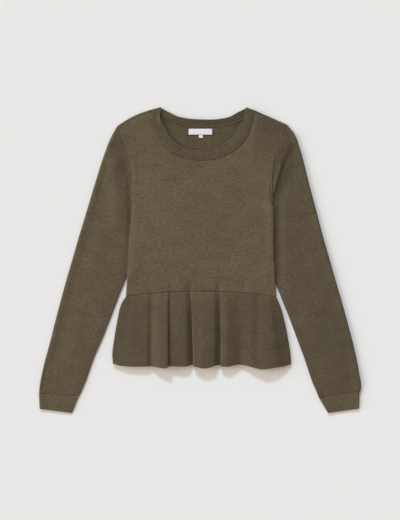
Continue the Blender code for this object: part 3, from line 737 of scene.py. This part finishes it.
# sleeves and cuffs; a station is the outer edge and the inner edge
sleeveInfo = dict(
    flat=(0.36, 0.62), area=0.118, length=620, middleZ=3.6, edgeZ=5.6, edgeReach=9.0, lowestZ=2.45,
    armholeFade=(0.35, 0.35, 0.045),  # shares of the length over which the armhole's x, y and z fade
    seamDip=(0.7, 1.3), seamRidge=(0.3, 4.0), endDip=(0.5, 1.4), waver=0.3,
)
leftSleeve = dict(
    name="sleeve_cloth_left", side=left,
    stations=[
        (-173.5, 281.0, -110.2, 88.0), (-186.5, 257.5, -112.0, 84.0), (-201.0, 220.5, -114.5, 77.5),
        (-220.3, 160.5, -118.0, 67.5), (-239.0, 98.5, -123.0, 56.0), (-252.9, 53.0, -138.0, 14.5),
        (-266.0, 7.5, -151.9, -29.0), (-279.5, -38.5, -169.7, -74.0), (-292.0, -84.0, -186.5, -118.0),
        (-303.5, -128.0, -202.9, -160.0), (-314.5, -172.0, -221.4, -202.5), (-330.0, -231.0, -239.2, -252.0),
        (-337.2, -272.0, -251.0, -279.7), (-337.4, -278.5, -253.8, -285.2),
    ],
    profile=([0, 0.2, 0.45, 0.75, 1.0], [0.0, 0.6, 0.9, 0.4, 0.0]),
    creases=[
        ((-161, 250), (-149, 195), 8.0, -1.8),
        ((-149, 195), (-145, 150), 7.0, -2.5),
        ((-144, 150), (-142, 60), 7.0, -2.2),
        ((-187, 246), (-180, 200), (13.0, 16.0), 3.2),
        ((-179, 195), (-171, 90), (17.0, 17.0), 4.4),
        ((-200, 60), (-236, -40), 18.0, 0.8),
        ((-250, -120), (-282, -225), 16.0, 0.7),
        ((-322, -220), (-330, -268), 5.0, -1.5),
    ],
    # painted shade darkens the top of the sleeve beside the body
    paintedShades=[(-185, 205, 40, 60, -0.11)],
)
rightSleeve = dict(
    name="sleeve_cloth_right", side=right,
    stations=[
        (181.7, 284.5, 110.2, 88.0), (197.9, 264.5, 112.0, 84.0), (210.3, 231.0, 114.5, 77.5),
        (228.7, 160.5, 118.0, 67.5), (245.4, 98.5, 124.0, 56.5), (257.2, 53.0, 138.5, 14.0),
        (270.3, 7.5, 151.8, -30.0), (283.3, -38.5, 168.6, -74.5), (296.7, -84.0, 186.5, -119.0),
        (308.8, -128.0, 202.5, -162.0), (320.4, -172.0, 218.5, -205.0), (332.9, -231.0, 235.6, -255.5),
        (337.6, -267.5, 247.4, -283.4), (337.0, -274.5, 249.0, -288.0),
    ],
    profile=([0, 0.12, 0.3, 0.65, 1.0], [0.8, 2.4, 3.6, 2.4, 0.0]),
    creases=[
        ((186, 236), (172, 206), 5.5, 1.6),
        ((171, 203), (159, 162), 4.2, 3.8),
        ((159, 160), (154, 138), 3.6, 3.0),
        ((194, 236), (181, 206), (5.5, 26.0), -2.4),
        ((180, 203), (168, 162), (5.0, 22.0), -4.2),
        ((168, 160), (159, 118), (4.5, 18.0), -4.2),
        ((206, 214), (222, 120), 16.0, 0.8),
        ((240, 40), (262, -60), 18.0, 0.7),
        ((286, -140), (300, -230), 16.0, 0.7),
    ],
    # painted shade darkens the top of the sleeve beside the body, and its lower part
    paintedShades=[(190, 205, 45, 60, -0.19), (285, -160, 60, 90, -0.10)],
)
sleeveRoll = 2.2  # how far in the roll along the inner edge reaches
topShares = np.concatenate([[0, 0.004, 0.01, 0.018], np.linspace(0.028, 0.972, 56), [0.982, 0.99, 0.996, 1]])
bottomShares = np.linspace(0, 1, 24)
turnSteps, innerSteps = 10, 8  # round the outer and the inner edge


def tubeRing(station, middleZ, edgeZ, reach, innerRise, tops=topShares, bottoms=bottomShares):
    # once round a flattened tube: the top from the inner edge to the outer, its turn, the underside, its roll
    outer, inner = np.array(station[:2]), np.array(station[2:])
    across = unit(inner - outer)
    first, last = inner - across * sleeveRoll, outer + across * shoulderWrap
    top = between(first, last, tops[:, None])
    fromOuter = np.linalg.norm(top - outer, axis=1) - shoulderWrap
    fromInner = np.linalg.norm(top - inner, axis=1) - sleeveRoll
    raised = bell(fromOuter, reach) + innerRise * bell(fromInner, reach)
    top = np.column_stack([top, middleZ + (edgeZ - middleZ) * raised])
    turn = wrap(outer, across, edgeZ, steps=turnSteps)[1:]
    under = between(turn[-1][:2], first, bottoms[1:, None])
    under = np.column_stack([under, np.full(len(under), floorZ)])
    return np.vstack([top, turn, under, innerRoll(first, across, top[0][2])])


def innerRoll(place, across, topZ, reach=sleeveRoll - wall / 2):
    # from the underside round the inner edge to the top
    points = []
    for step in range(1, innerSteps + 1):
        angle = np.pi * (step / innerSteps - 0.5)
        height = between(floorZ, topZ, (1 + np.sin(angle)) / 2)
        points.append((*(place + across * reach * np.cos(angle)), height))
    return np.array(points)


def armholeRing(side):
    # the sleeve's first ring, along both armhole seams and over the shoulder
    outward = gap / 2 * side["sign"]
    frontLine = armhole(side, side["front"], shoulderWrap)
    front = lineAt(frontLine[::-1], topShares)
    front = movedLeft(front[::-1], outward)[::-1]
    along = distances(frontLine[::-1])
    frontZ = np.interp(topShares, along / along[-1], side["armholeZ"][::-1])
    back = movedLeft(lineAt(armhole(side, side["back"], roll), bottomShares), outward)
    way, inward = shoulderFrame(side)
    end = np.array(side["tip"]) - way * gap
    top = np.column_stack([front, frontZ])
    under = np.column_stack([back[1:], np.full(len(back) - 1, floorZ)])
    rolled = innerRoll(front[0], np.array([-side["sign"], 0.0]), side["armholeZ"][-1], 0.0)
    return np.vstack([top, wrap(end, inward, steps=turnSteps)[1:], under, rolled])


def pressed(side, x, y):
    # 1 where the sleeve lies under the body and 0 where it is free
    rows = body[::-1]
    edge = np.interp(y, [row[0] for row in rows], [row[1 if side is left else 2] for row in rows])
    inside = (x - edge) * -side["sign"]
    atTop, atWaist = ease((side["pressTop"] - y) / 20), ease((y + 80) / 20)
    return ease((inside + side["pressFrom"]) / side["pressSoft"]) * atTop * atWaist


def sleeve(piece):
    info, side, stations = sleeveInfo, piece["side"], piece["stations"]
    form = info["middleZ"], info["edgeZ"], info["edgeReach"], side["innerRise"]
    end, first = armholeRing(side), tubeRing(stations[0], *form)
    middles = np.array([((s[0] + s[2]) / 2, (s[1] + s[3]) / 2) for s in stations])
    along = distances(middles)
    at = np.concatenate([
        [0, 0.0015, 0.0035, 0.006, 0.009], np.linspace(0.013, 0.987, 150), [0.991, 0.994, 0.9965, 0.9985, 1],
    ])
    swell = curve(piece["profile"][0], np.array(piece["profile"][1]), topShares)
    top = len(topShares)
    rings = []
    for station, place in zip(curve(along / along[-1], np.array(stations), at), at):
        ring = tubeRing(station, *form)
        ring += (end - first) * (1 - ease(place / np.array(info["armholeFade"])))
        x, y, z = ring[:top].T
        z += swell * ease(place / 0.12) * ease((1 - place) / 0.08)
        hidden = np.interp(y, armholeY[:3:-1], side["armholeZ"][:4:-1])
        z += creased(ring[:top], piece["creases"])
        z += info["waver"] * wander(y + x * 0.4, 5 + side["sign"], 60.0)
        z += seamShape(place * info["length"], (1 - place) * info["length"])
        # what lies under the body is pressed flat, and the inner roll follows the top
        old = z[0]
        z[:] = np.maximum(between(z, np.minimum(z, hidden), pressed(side, x, y)), info["lowestZ"])
        rolled = ring[-innerSteps:, 2]
        ring[-innerSteps:, 2] = floorZ + (rolled - floorZ) * (z[0] - floorZ) / max(old - floorZ, 1.0)
        rings.append(ring)
    rings = np.array(rings)
    return rings, clothUv(distances(rings[len(rings) // 2]), -at * along[-1])


def seamShape(fromArmhole, fromCuff):
    # the cloth dips into both seams, with a soft ridge beside the armhole
    (dip, dipWidth), (ridge, ridgeWidth), (endDip, endWidth) = (
        sleeveInfo[key] for key in ("seamDip", "seamRidge", "endDip"))
    beside = ridge * bell(fromArmhole - 5, ridgeWidth) * ease(fromArmhole / 3)
    return beside - dip * bell(fromArmhole, dipWidth) - endDip * bell(fromCuff, endWidth)


cuffInfo = dict(
    flat=(0.16, 0.036), uvRing=5, ribs=34, ribHeight=0.32, length=34.0, middleZ=3.2, edgeZ=4.0, edgeReach=8.0,
    seamDip=(0.5, 1.5), endDip=(0.3, 1.0),
)
leftCuff = dict(
    name="cuff_rib_left", side=left,
    stations=[(-338.0, -279.0, -254.9, -285.6), (-336.6, -312.2, -269.0, -320.9)],
    # painted light lightens this cuff
    paintedShades=[(-300, -298, 60, 40, 0.06)],
)
rightCuff = dict(
    name="cuff_rib_right", side=right,
    stations=[(334.6, -275.0, 249.6, -288.5), (333.6, -311.4, 268.6, -320.7)],
    # painted shade darkens this cuff
    paintedShades=[(300, -298, 60, 40, -0.05)],
)


def cuff(piece):
    info = cuffInfo
    form = info["middleZ"], info["edgeZ"], info["edgeReach"], piece["side"]["innerRise"]
    tops = np.linspace(0, 1, info["ribs"] * 6 + 1)
    bottoms = np.linspace(0, 1, 60)
    ribs = info["ribHeight"] * np.cos(tops * info["ribs"] * fullTurn)
    at = np.concatenate([[0, 0.02, 0.05], np.linspace(0.1, 0.9, 12), [0.95, 0.98, 1]])
    start, end = np.array(piece["stations"])
    rings = []
    for place in at:
        ring = tubeRing(between(start, end, place), *form, tops, bottoms)
        seamDip = info["seamDip"][0] * bell(place * info["length"], info["seamDip"][1])
        endDip = info["endDip"][0] * bell((1 - place) * info["length"], info["endDip"][1])
        ring[:len(tops), 2] += ribs - seamDip - endDip
        rings.append(ring)
    return np.array(rings), clothUv(distances(rings[info["uvRing"]]), -at * info["length"])


bandInfo = dict(
    name="neck_rib", flat=(0.58, 0.022),
    # painted shade darkens the right of the band
    paintedShades=[(100, 270, 50, 60, -0.07)],
    frontRibs=118, backRibs=92, ribHeight=0.24, width=22, backWidth=17, uvWidth=21.0,
    freeFrontZ=3.2, freeBackZ=5.0,
    join=(94.5, 254.0),  # where the ring is sewn shut
    lip=(5.5, 0.085, 0.045),  # how the free edge stands up near its left corner: height, place and reach
)


def neckband():
    # once round: the front from the left, over the right shoulder, the back, over the left shoulder
    info = bandInfo
    frontShares, backShares = np.linspace(0, 1, 601), np.linspace(0, 1, 481)
    frontSeam = movedLeft(neckLine(frontNeck, "neckCorner", shoulderWrap, frontShares), gap / 2)
    backSeam = movedLeft(neckLine(backNeck, "neckCorner", roll, backShares), gap / 2)
    frontFree = neckLine(frontFreeEdge, "bandTip", shoulderWrap, frontShares)
    backFree = neckLine(backFreeEdge, "bandTip", roll, backShares)
    turns = {}
    for side, end in ((left, 0), (right, -1)):
        along, inward = shoulderFrame(side)
        corner = np.array(side["neckCorner"]) + along * gap / 2
        corners = corner, np.array(side["bandTip"])
        turns[side["name"]] = [wrap(place, inward, steps=16)[1:] for place in corners]
        frontSeam[end] = corner + inward * shoulderWrap
        backSeam[end] = corner + inward * roll
    frontBulge, backBulge = (np.sin(np.pi * shares) ** 0.7 for shares in (frontShares, backShares))
    frontRibs = info["ribHeight"] * np.cos(frontShares * info["frontRibs"] * fullTurn)
    backRibs = info["ribHeight"] * np.cos(backShares * info["backRibs"] * fullTurn)
    lipHeight, lipPlace, lipReach = info["lip"]
    join, length = np.array(info["join"]), distances(frontSeam)[-1]
    joinShare = frontShares[np.argmin(np.hypot(*(frontSeam - join).T))]
    at = np.array([0, 0.03, 0.08, 0.15, 0.24, 0.34, 0.45, 0.56, 0.67, 0.78, 0.87, 0.94, 0.98, 1.0])
    rows = []
    for share in at:
        front, back = between(frontSeam, frontFree, share), between(backSeam, backFree, share)
        frontZ = shoulderZ + (between(chestZ, info["freeFrontZ"], ease(share)) - shoulderZ) * frontBulge
        backZ = floorZ + (between(floorZ, info["freeBackZ"], ease(share)) - floorZ) * backBulge
        # the free edge is rolled behind a fine groove, and the seam and the join dip in
        down = share * info["width"]
        rolled = 0.6 * np.sin(np.pi * share) - 0.5 * bell(down - 18.0, 1.0) + 0.9 * bell(down - 20.3, 1.2)
        joined = 0.5 * bell(np.hypot(*(front - join).T), 1.6)
        joined += 0.4 * bell((frontShares - joinShare) * length, 0.8)
        lip = lipHeight * ease((share - 0.5) / 0.4) * bell(frontShares - lipPlace, lipReach)
        raised = rolled + frontRibs - joined + lip - 0.8 * bell(down, 1.1)
        frontZ = frontZ + raised * np.minimum(1, frontBulge * 2) + chestDome(*front.T)
        backRidge = 1.3 * bell(share * info["backWidth"] - 1.3, 1.0)
        backZ = backZ + (backRibs + backRidge) * np.minimum(1, backBulge * 2)
        turnRight, turnLeft = between(*turns["right"], share), between(*turns["left"], share)
        rows.append(np.vstack([
            np.column_stack([front, frontZ]), turnRight[:-1],
            np.column_stack([back, backZ])[::-1], turnLeft[-2::-1],
            [(*front[0], frontZ[0])],
        ]))
    rows = np.array(rows)
    return rows, clothUv(distances(rows[len(rows) // 2]), at * info["uvWidth"])


peplumInfo = dict(
    name="peplum_cloth_front", flat=(0.42, 0.15), length=150.0, waistZ=4.4, edgeTopZ=4.6,
    edgeZ=dict(left=6.6, right=4.2), opening=2.2, sway=0.9,
    # height, then place where it isn't at the edge, then width
    seamDip=(1.6, 1.4), seamRidge=(0.4, 4, 3.0), hemStitch=(0.4, 4.6, 0.8), hemRidge=(0.2, 2.2, 1.6),
    gathers=0.2, uvRow=50,
    leftEdge=[
        (-155.8, -77.0), (-164.5, -91.0), (-173.5, -127.0), (-180.5, -168.5), (-184.0, -197.0),
        (-182.9, -217.8),
    ],
    rightEdge=[
        (159.8, -77.0), (169.0, -98.5), (177.0, -127.0), (184.0, -161.5), (189.5, -197.0), (191.0, -219.2),
    ],
    # painted shade darkens the right and the left of the peplum, its left edge and one narrow band on the
    # right; painted light lightens two narrow bands on the right and a strip below the waist seam
    paintedShades=[
        (140, -150, 62, 120, -0.14), (-150, -150, 30, 120, -0.07), (-177, -150, 8, 60, -0.08),
        (61, -150, 10, 90, 0.04), (104, -150, 6, 90, 0.05), (119, -150, 6, 90, -0.05),
        (-100, -76, 50, 12, 0.12), (0, -70, 50, 12, 0.11), (105, -75, 50, 12, 0.08),
    ],
)
peplumBackInfo = dict(
    name="peplum_cloth_back", flat=(0.36, 0.15), hemY=-217.5, ridgeHeight=1.4,
    ridges=[(-118.0, 9.0), (-74.0, 8.0), (9.0, 10.0), (62.0, 8.0), (128.0, 10.0)],
)
# the folds of its front: x and rise at the waist, then x, y and height at the hem
folds = [
    (-147.0, 0.1, -168.0, -221.5, 7.8), (-133.0, 0.3, -150.0, -222.8, 10.6),
    (-119.0, 0.5, -122.0, -222.8, 11.3), (-110.0, 0.3, -111.0, -222.8, 10.8),
    (-105.0, -0.8, -106.0, -222.6, 8.6), (-99.5, -0.9, -100.0, -222.7, 8.4),
    (-91.0, 0.6, -91.5, -223.8, 13.9), (-84.5, 1.0, -84.5, -225.0, 16.3),
    (-77.0, 1.1, -76.5, -226.2, 18.1), (-70.5, 1.2, -70.0, -225.8, 18.9),
    (-67.2, 0.9, -66.6, -224.4, 17.6), (-66.6, 0.3, -66.0, -223.6, 15.6),
    (-68.2, -0.3, -67.6, -223.1, 14.2), (-69.2, -0.9, -68.6, -222.7, 12.6),
    (-66.4, -1.2, -66.0, -222.5, 11.6), (-62.0, -0.5, -61.5, -222.1, 12.6),
    (-54.0, 0.2, -53.5, -222.2, 13.7), (-42.0, 0.6, -43.0, -222.4, 14.3),
    (-33.0, 0.6, -34.0, -222.8, 13.6), (-28.5, 0.2, -26.5, -222.2, 12.0),
    (-24.0, -1.3, -20.5, -220.6, 7.2), (-20.2, -2.1, -15.4, -219.4, 4.2),
    (-17.4, -1.3, -12.2, -219.8, 6.6), (-18.4, 0.0, -13.2, -221.0, 10.4),
    (-17.2, 0.9, -12.0, -222.4, 13.7), (-13.0, 1.0, -8.2, -223.4, 14.4),
    (-6.0, 1.0, -2.4, -225.0, 15.4), (2.0, 1.0, 4.4, -226.3, 16.6),
    (15.0, 0.8, 15.5, -225.8, 16.4), (25.0, 0.8, 25.5, -223.0, 15.0),
    (31.0, 0.6, 30.2, -221.4, 12.8), (35.2, -0.9, 34.6, -220.6, 7.4),
    (39.4, -2.0, 39.4, -220.4, 4.2), (44.2, -1.6, 44.6, -220.8, 5.2),
    (43.4, 0.0, 43.8, -221.6, 9.4), (44.8, 0.7, 45.4, -222.4, 13.0),
    (49.0, 0.8, 50.8, -222.8, 14.0), (55.5, 0.7, 58.0, -223.2, 14.4),
    (70.0, 0.3, 73.0, -219.8, 10.8), (82.0, 0.2, 85.0, -219.0, 7.0),
    (93.0, 0.7, 97.0, -220.8, 9.2), (101.0, 1.1, 106.0, -223.4, 12.1),
    (107.0, 1.0, 113.0, -225.4, 13.1), (112.5, 0.4, 119.5, -227.2, 13.9),
    (119.0, -0.6, 127.0, -228.4, 16.1), (127.0, -0.6, 135.0, -228.4, 17.7),
    (137.0, -0.1, 150.0, -226.2, 17.2), (144.0, 0.5, 163.0, -223.7, 15.0),
    (150.0, 0.5, 177.0, -222.2, 9.4),
]
# shares of the way down where the rows are
peplumAt = np.concatenate([
    [0, 0.003, 0.007, 0.012, 0.018], np.linspace(0.028, 0.955, 62),
    [0.962, 0.968, 0.973, 0.978, 0.984, 0.99, 0.995, 1],
])


def peplumEdges(share):
    # both side edges at a share of the way down
    edges = []
    for points in (peplumInfo["leftEdge"], peplumInfo["rightEdge"]):
        points = np.array(points)
        along = distances(points)
        edges.append(curve(along, points, [share * along[-1]])[0])
    return edges


def lateFold(x):
    # the soft folds on the right only open near the hem
    return ease((x - 60) / 20) * ease((150 - x) / 44)


def foldPoints(share):
    # the folds' knots at a share of the way down
    grown, late = 1 - (1 - share) ** peplumInfo["opening"], share ** peplumInfo["opening"]
    points = []
    for topX, topRise, hemX, hemY, hemZ in folds:
        sway = peplumInfo["sway"] * np.sin(np.pi * share) * np.sin(topX / 30.0 + 1.0)
        points.append((
            between(topX, hemX, share) + sway,
            between(waistY(topX) - gap / 2, hemY, share),
            between(peplumInfo["waistZ"] + topRise, hemZ, between(grown, late, lateFold(topX))),
        ))
    return np.array(points)


def peplumTurns(share):
    # how both side edges turn down to the floor
    info = peplumInfo
    turns = []
    for edge, side in zip(peplumEdges(share), (left, right)):
        edgeZ = between(info["edgeTopZ"], info["edgeZ"][side["name"]], ease(share * 4))
        turn = wrap(edge, np.array([-side["sign"], 0.0]), edgeZ, steps=12)[1:]
        if share == 0:
            turn[:, 1] = waistY(turn[:, 0]) - gap / 2
        turns.append(turn)
    return turns


def peplumFront():
    info = peplumInfo
    order = np.arange(len(folds))
    fine = np.linspace(0, len(folds) - 1, (len(folds) - 1) * 8 + 1)
    rows = []
    for share in peplumAt:
        turnLeft, turnRight = peplumTurns(share)
        rows.append(np.vstack([turnLeft[::-1], curve(order, foldPoints(share), fine), turnRight]))
    rows = np.array(rows)
    # seam at the top, small gathers below it, a stitched line above the hem
    x, heights = rows[..., 0], rows[..., 2]
    down = peplumAt[:, None] * info["length"]
    up = info["length"] - down
    gathers = np.sin(x / 3.4 + 2.0 * np.sin(x / 17.0)) * bell(down - 6, 9.0) * ease(down / 3)
    dip, dipWidth = info["seamDip"]
    ridge, ridgePlace, ridgeWidth = info["seamRidge"]
    seam = ridge * bell(down - ridgePlace, ridgeWidth) * ease(down / 2) - dip * bell(down, dipWidth)
    stitch, stitchPlace, stitchWidth = info["hemStitch"]
    swell, swellPlace, swellWidth = info["hemRidge"]
    hem = swell * bell(up - swellPlace, swellWidth) - stitch * bell(up - stitchPlace, stitchWidth)
    shape = seam + hem + info["gathers"] * gathers
    turned = (rows.shape[1] - len(fine)) // 2
    side = np.linspace(0, 1, turned)
    heights += np.concatenate([side, np.ones(len(fine)), side[::-1]]) ** 2 * shape
    # it never sinks into the floor or into the back
    np.maximum(heights, floorZ, out=heights)
    inner = heights[:, turned:-turned]
    np.maximum(inner, overBack, out=inner)
    run = distances(rows[info["uvRow"]])
    return rows, clothUv(run - run.mean(), -down[:, 0])


def peplumBack():
    info = peplumBackInfo
    rows = []
    for share in np.linspace(0, 1, 40):
        edgeLeft, edgeRight = peplumEdges(share)
        x = np.linspace(edgeLeft[0] + roll + gap, edgeRight[0] - roll - gap, 161)
        y = between(waistY(x) - gap / 2, info["hemY"], share)
        z = np.full(len(x), floorZ)
        for ridgeX, halfWidth in info["ridges"]:
            z += info["ridgeHeight"] * ease(share) * bell(x - ridgeX, halfWidth)
        rows.append(np.column_stack([x, y, z]))
    return np.array(rows)


# the label on the inside of the back, and the size tab below it
labelInfo = dict(
    name="label_tape", flat=(0.05, 0.0124), thickness=0.6, x=(-23.6, 25.7), y=(262.9, 275.2), z=2.0,
    bow=0.4, lift=0.8,
)
tabInfo = dict(name="size_tab_tape", thickness=0.5, x=(-2.2, 6.1), y=(256.1, 262.8), z=2.0, bow=0.2, lift=0.6)


def tape(info):
    # bowed along its width, with its lower edge lifted
    (lowX, highX), (lowY, highY) = info["x"], info["y"]
    rows = []
    for y in np.linspace(highY, lowY, 15):
        x = np.linspace(lowX, highX, 41)
        share, up = (x - lowX) / (highX - lowX), (y - lowY) / (highY - lowY)
        height = info["z"] + info["bow"] * np.sin(np.pi * share) * (0.4 + 0.6 * np.sin(np.pi * up))
        height = height + info["lift"] * (1 - up)
        rows.append(np.column_stack([x, np.full(len(x), y), height]))
    return np.array(rows)


# every piece, from the shoulders down

front = makeCloth(frontInfo, frontPanel(), knit)
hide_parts("front_panel")
back = makeCloth(backInfo, backPanel(), knitInside, cut=cutAtNeck, outside=knit)
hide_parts("back_panel")
print("body done")

for info, surface in ((leftSleeve, knitSleeve), (rightSleeve, knitSleeveRightPaintedShade)):
    rings, uv = sleeve(info)
    piece = makeCloth(info, rings, surface, uv=uv)
    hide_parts("sleeve_" + info["side"]["name"])
for info in (leftCuff, rightCuff):
    rings, uv = cuff(info)
    piece = makeCloth(info, rings, rib, uv=uv)
    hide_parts("cuff_" + info["side"]["name"])
print("sleeves and cuffs done")

rows, uv = neckband()
band = makeCloth(bandInfo, rows, ribNeck, uv=uv)
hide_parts("neckband")
print("neckband done")

rows, uv = peplumFront()
peplum = makeCloth(peplumInfo, rows, knitPeplum, uv=uv)
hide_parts("peplum_front")
peplumUnder = makeCloth(peplumBackInfo, peplumBack(), knitPeplum)
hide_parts("peplum_back")
print("peplum done")

label = makeCloth(labelInfo, tape(labelInfo), woven)
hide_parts("neck_label")
tab = makeCloth(tabInfo, tape(tabInfo), woven)
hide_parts("size_tab")
print("label and tab done")

# the surface it lies on
tableInfo = dict(halfWidth=16, z=-0.0002, colour=(0.815, 0.807, 0.792, 1), roughness=0.95)


def makeTableTop(info):
    paper = bpy.data.materials.new("white_surface")
    paper.use_nodes = True
    shader = paper.node_tree.nodes["Principled BSDF"]
    shader.inputs["Base Color"].default_value = info["colour"]
    shader.inputs["Roughness"].default_value = info["roughness"]
    shader.inputs["Specular IOR Level"].default_value = 0.0
    sheet = bmesh.new()
    bmesh.ops.create_grid(sheet, x_segments=1, y_segments=1, size=info["halfWidth"])
    bmesh.ops.translate(sheet, verts=sheet.verts, vec=(0, 0, info["z"]))
    mesh = bpy.data.meshes.new("table_top")
    sheet.to_mesh(mesh)
    sheet.free()
    mesh.materials.append(paper)
    tableTop = bpy.data.objects.new("table_top", mesh)
    bpy.context.scene.collection.objects.link(tableTop)
    return tableTop


makeTableTop(tableInfo)
print("surface done")


# light and camera; each way points from the sweater to the light
suns = [
    dict(name="key", way=(-0.24, 0.82, 0.52), strength=2.1, angle=9, colour=(0.53, 0.77, 1.0)),
    dict(name="leftFill", way=(-0.90, 0.10, 0.41), strength=2.1, angle=42, colour=(1.0, 1.0, 1.0)),
]
roomInfo = dict(colour=(1.0, 0.845, 0.696, 1), strength=0.539)
cameraInfo = dict(height=2.8, frameHeight=1.092, sensor=36)

for info in suns:
    lamp = bpy.data.lights.new(info["name"], "SUN")
    lamp.energy = info["strength"]
    lamp.angle = np.radians(info["angle"])
    lamp.color = info["colour"]
    sun = bpy.data.objects.new(info["name"], lamp)
    sun.rotation_euler = Vector(info["way"]).to_track_quat("Z", "Y").to_euler()
    bpy.context.scene.collection.objects.link(sun)
world = bpy.data.worlds.new("room")
world.use_nodes = True
background = world.node_tree.nodes["Background"]
background.inputs["Color"].default_value = roomInfo["colour"]
background.inputs["Strength"].default_value = roomInfo["strength"]
bpy.context.scene.world = world
print("lights done")

eye = bpy.data.cameras.new("camera")
eye.sensor_fit = "VERTICAL"
eye.sensor_height = cameraInfo["sensor"]
eye.lens = cameraInfo["sensor"] * cameraInfo["height"] / cameraInfo["frameHeight"]
camera = bpy.data.objects.new("camera", eye)
camera.location = (0, 0, cameraInfo["height"])
bpy.context.scene.collection.objects.link(camera)
bpy.context.scene.camera = camera
bpy.context.scene.view_settings.view_transform = "Standard"
print("camera done")
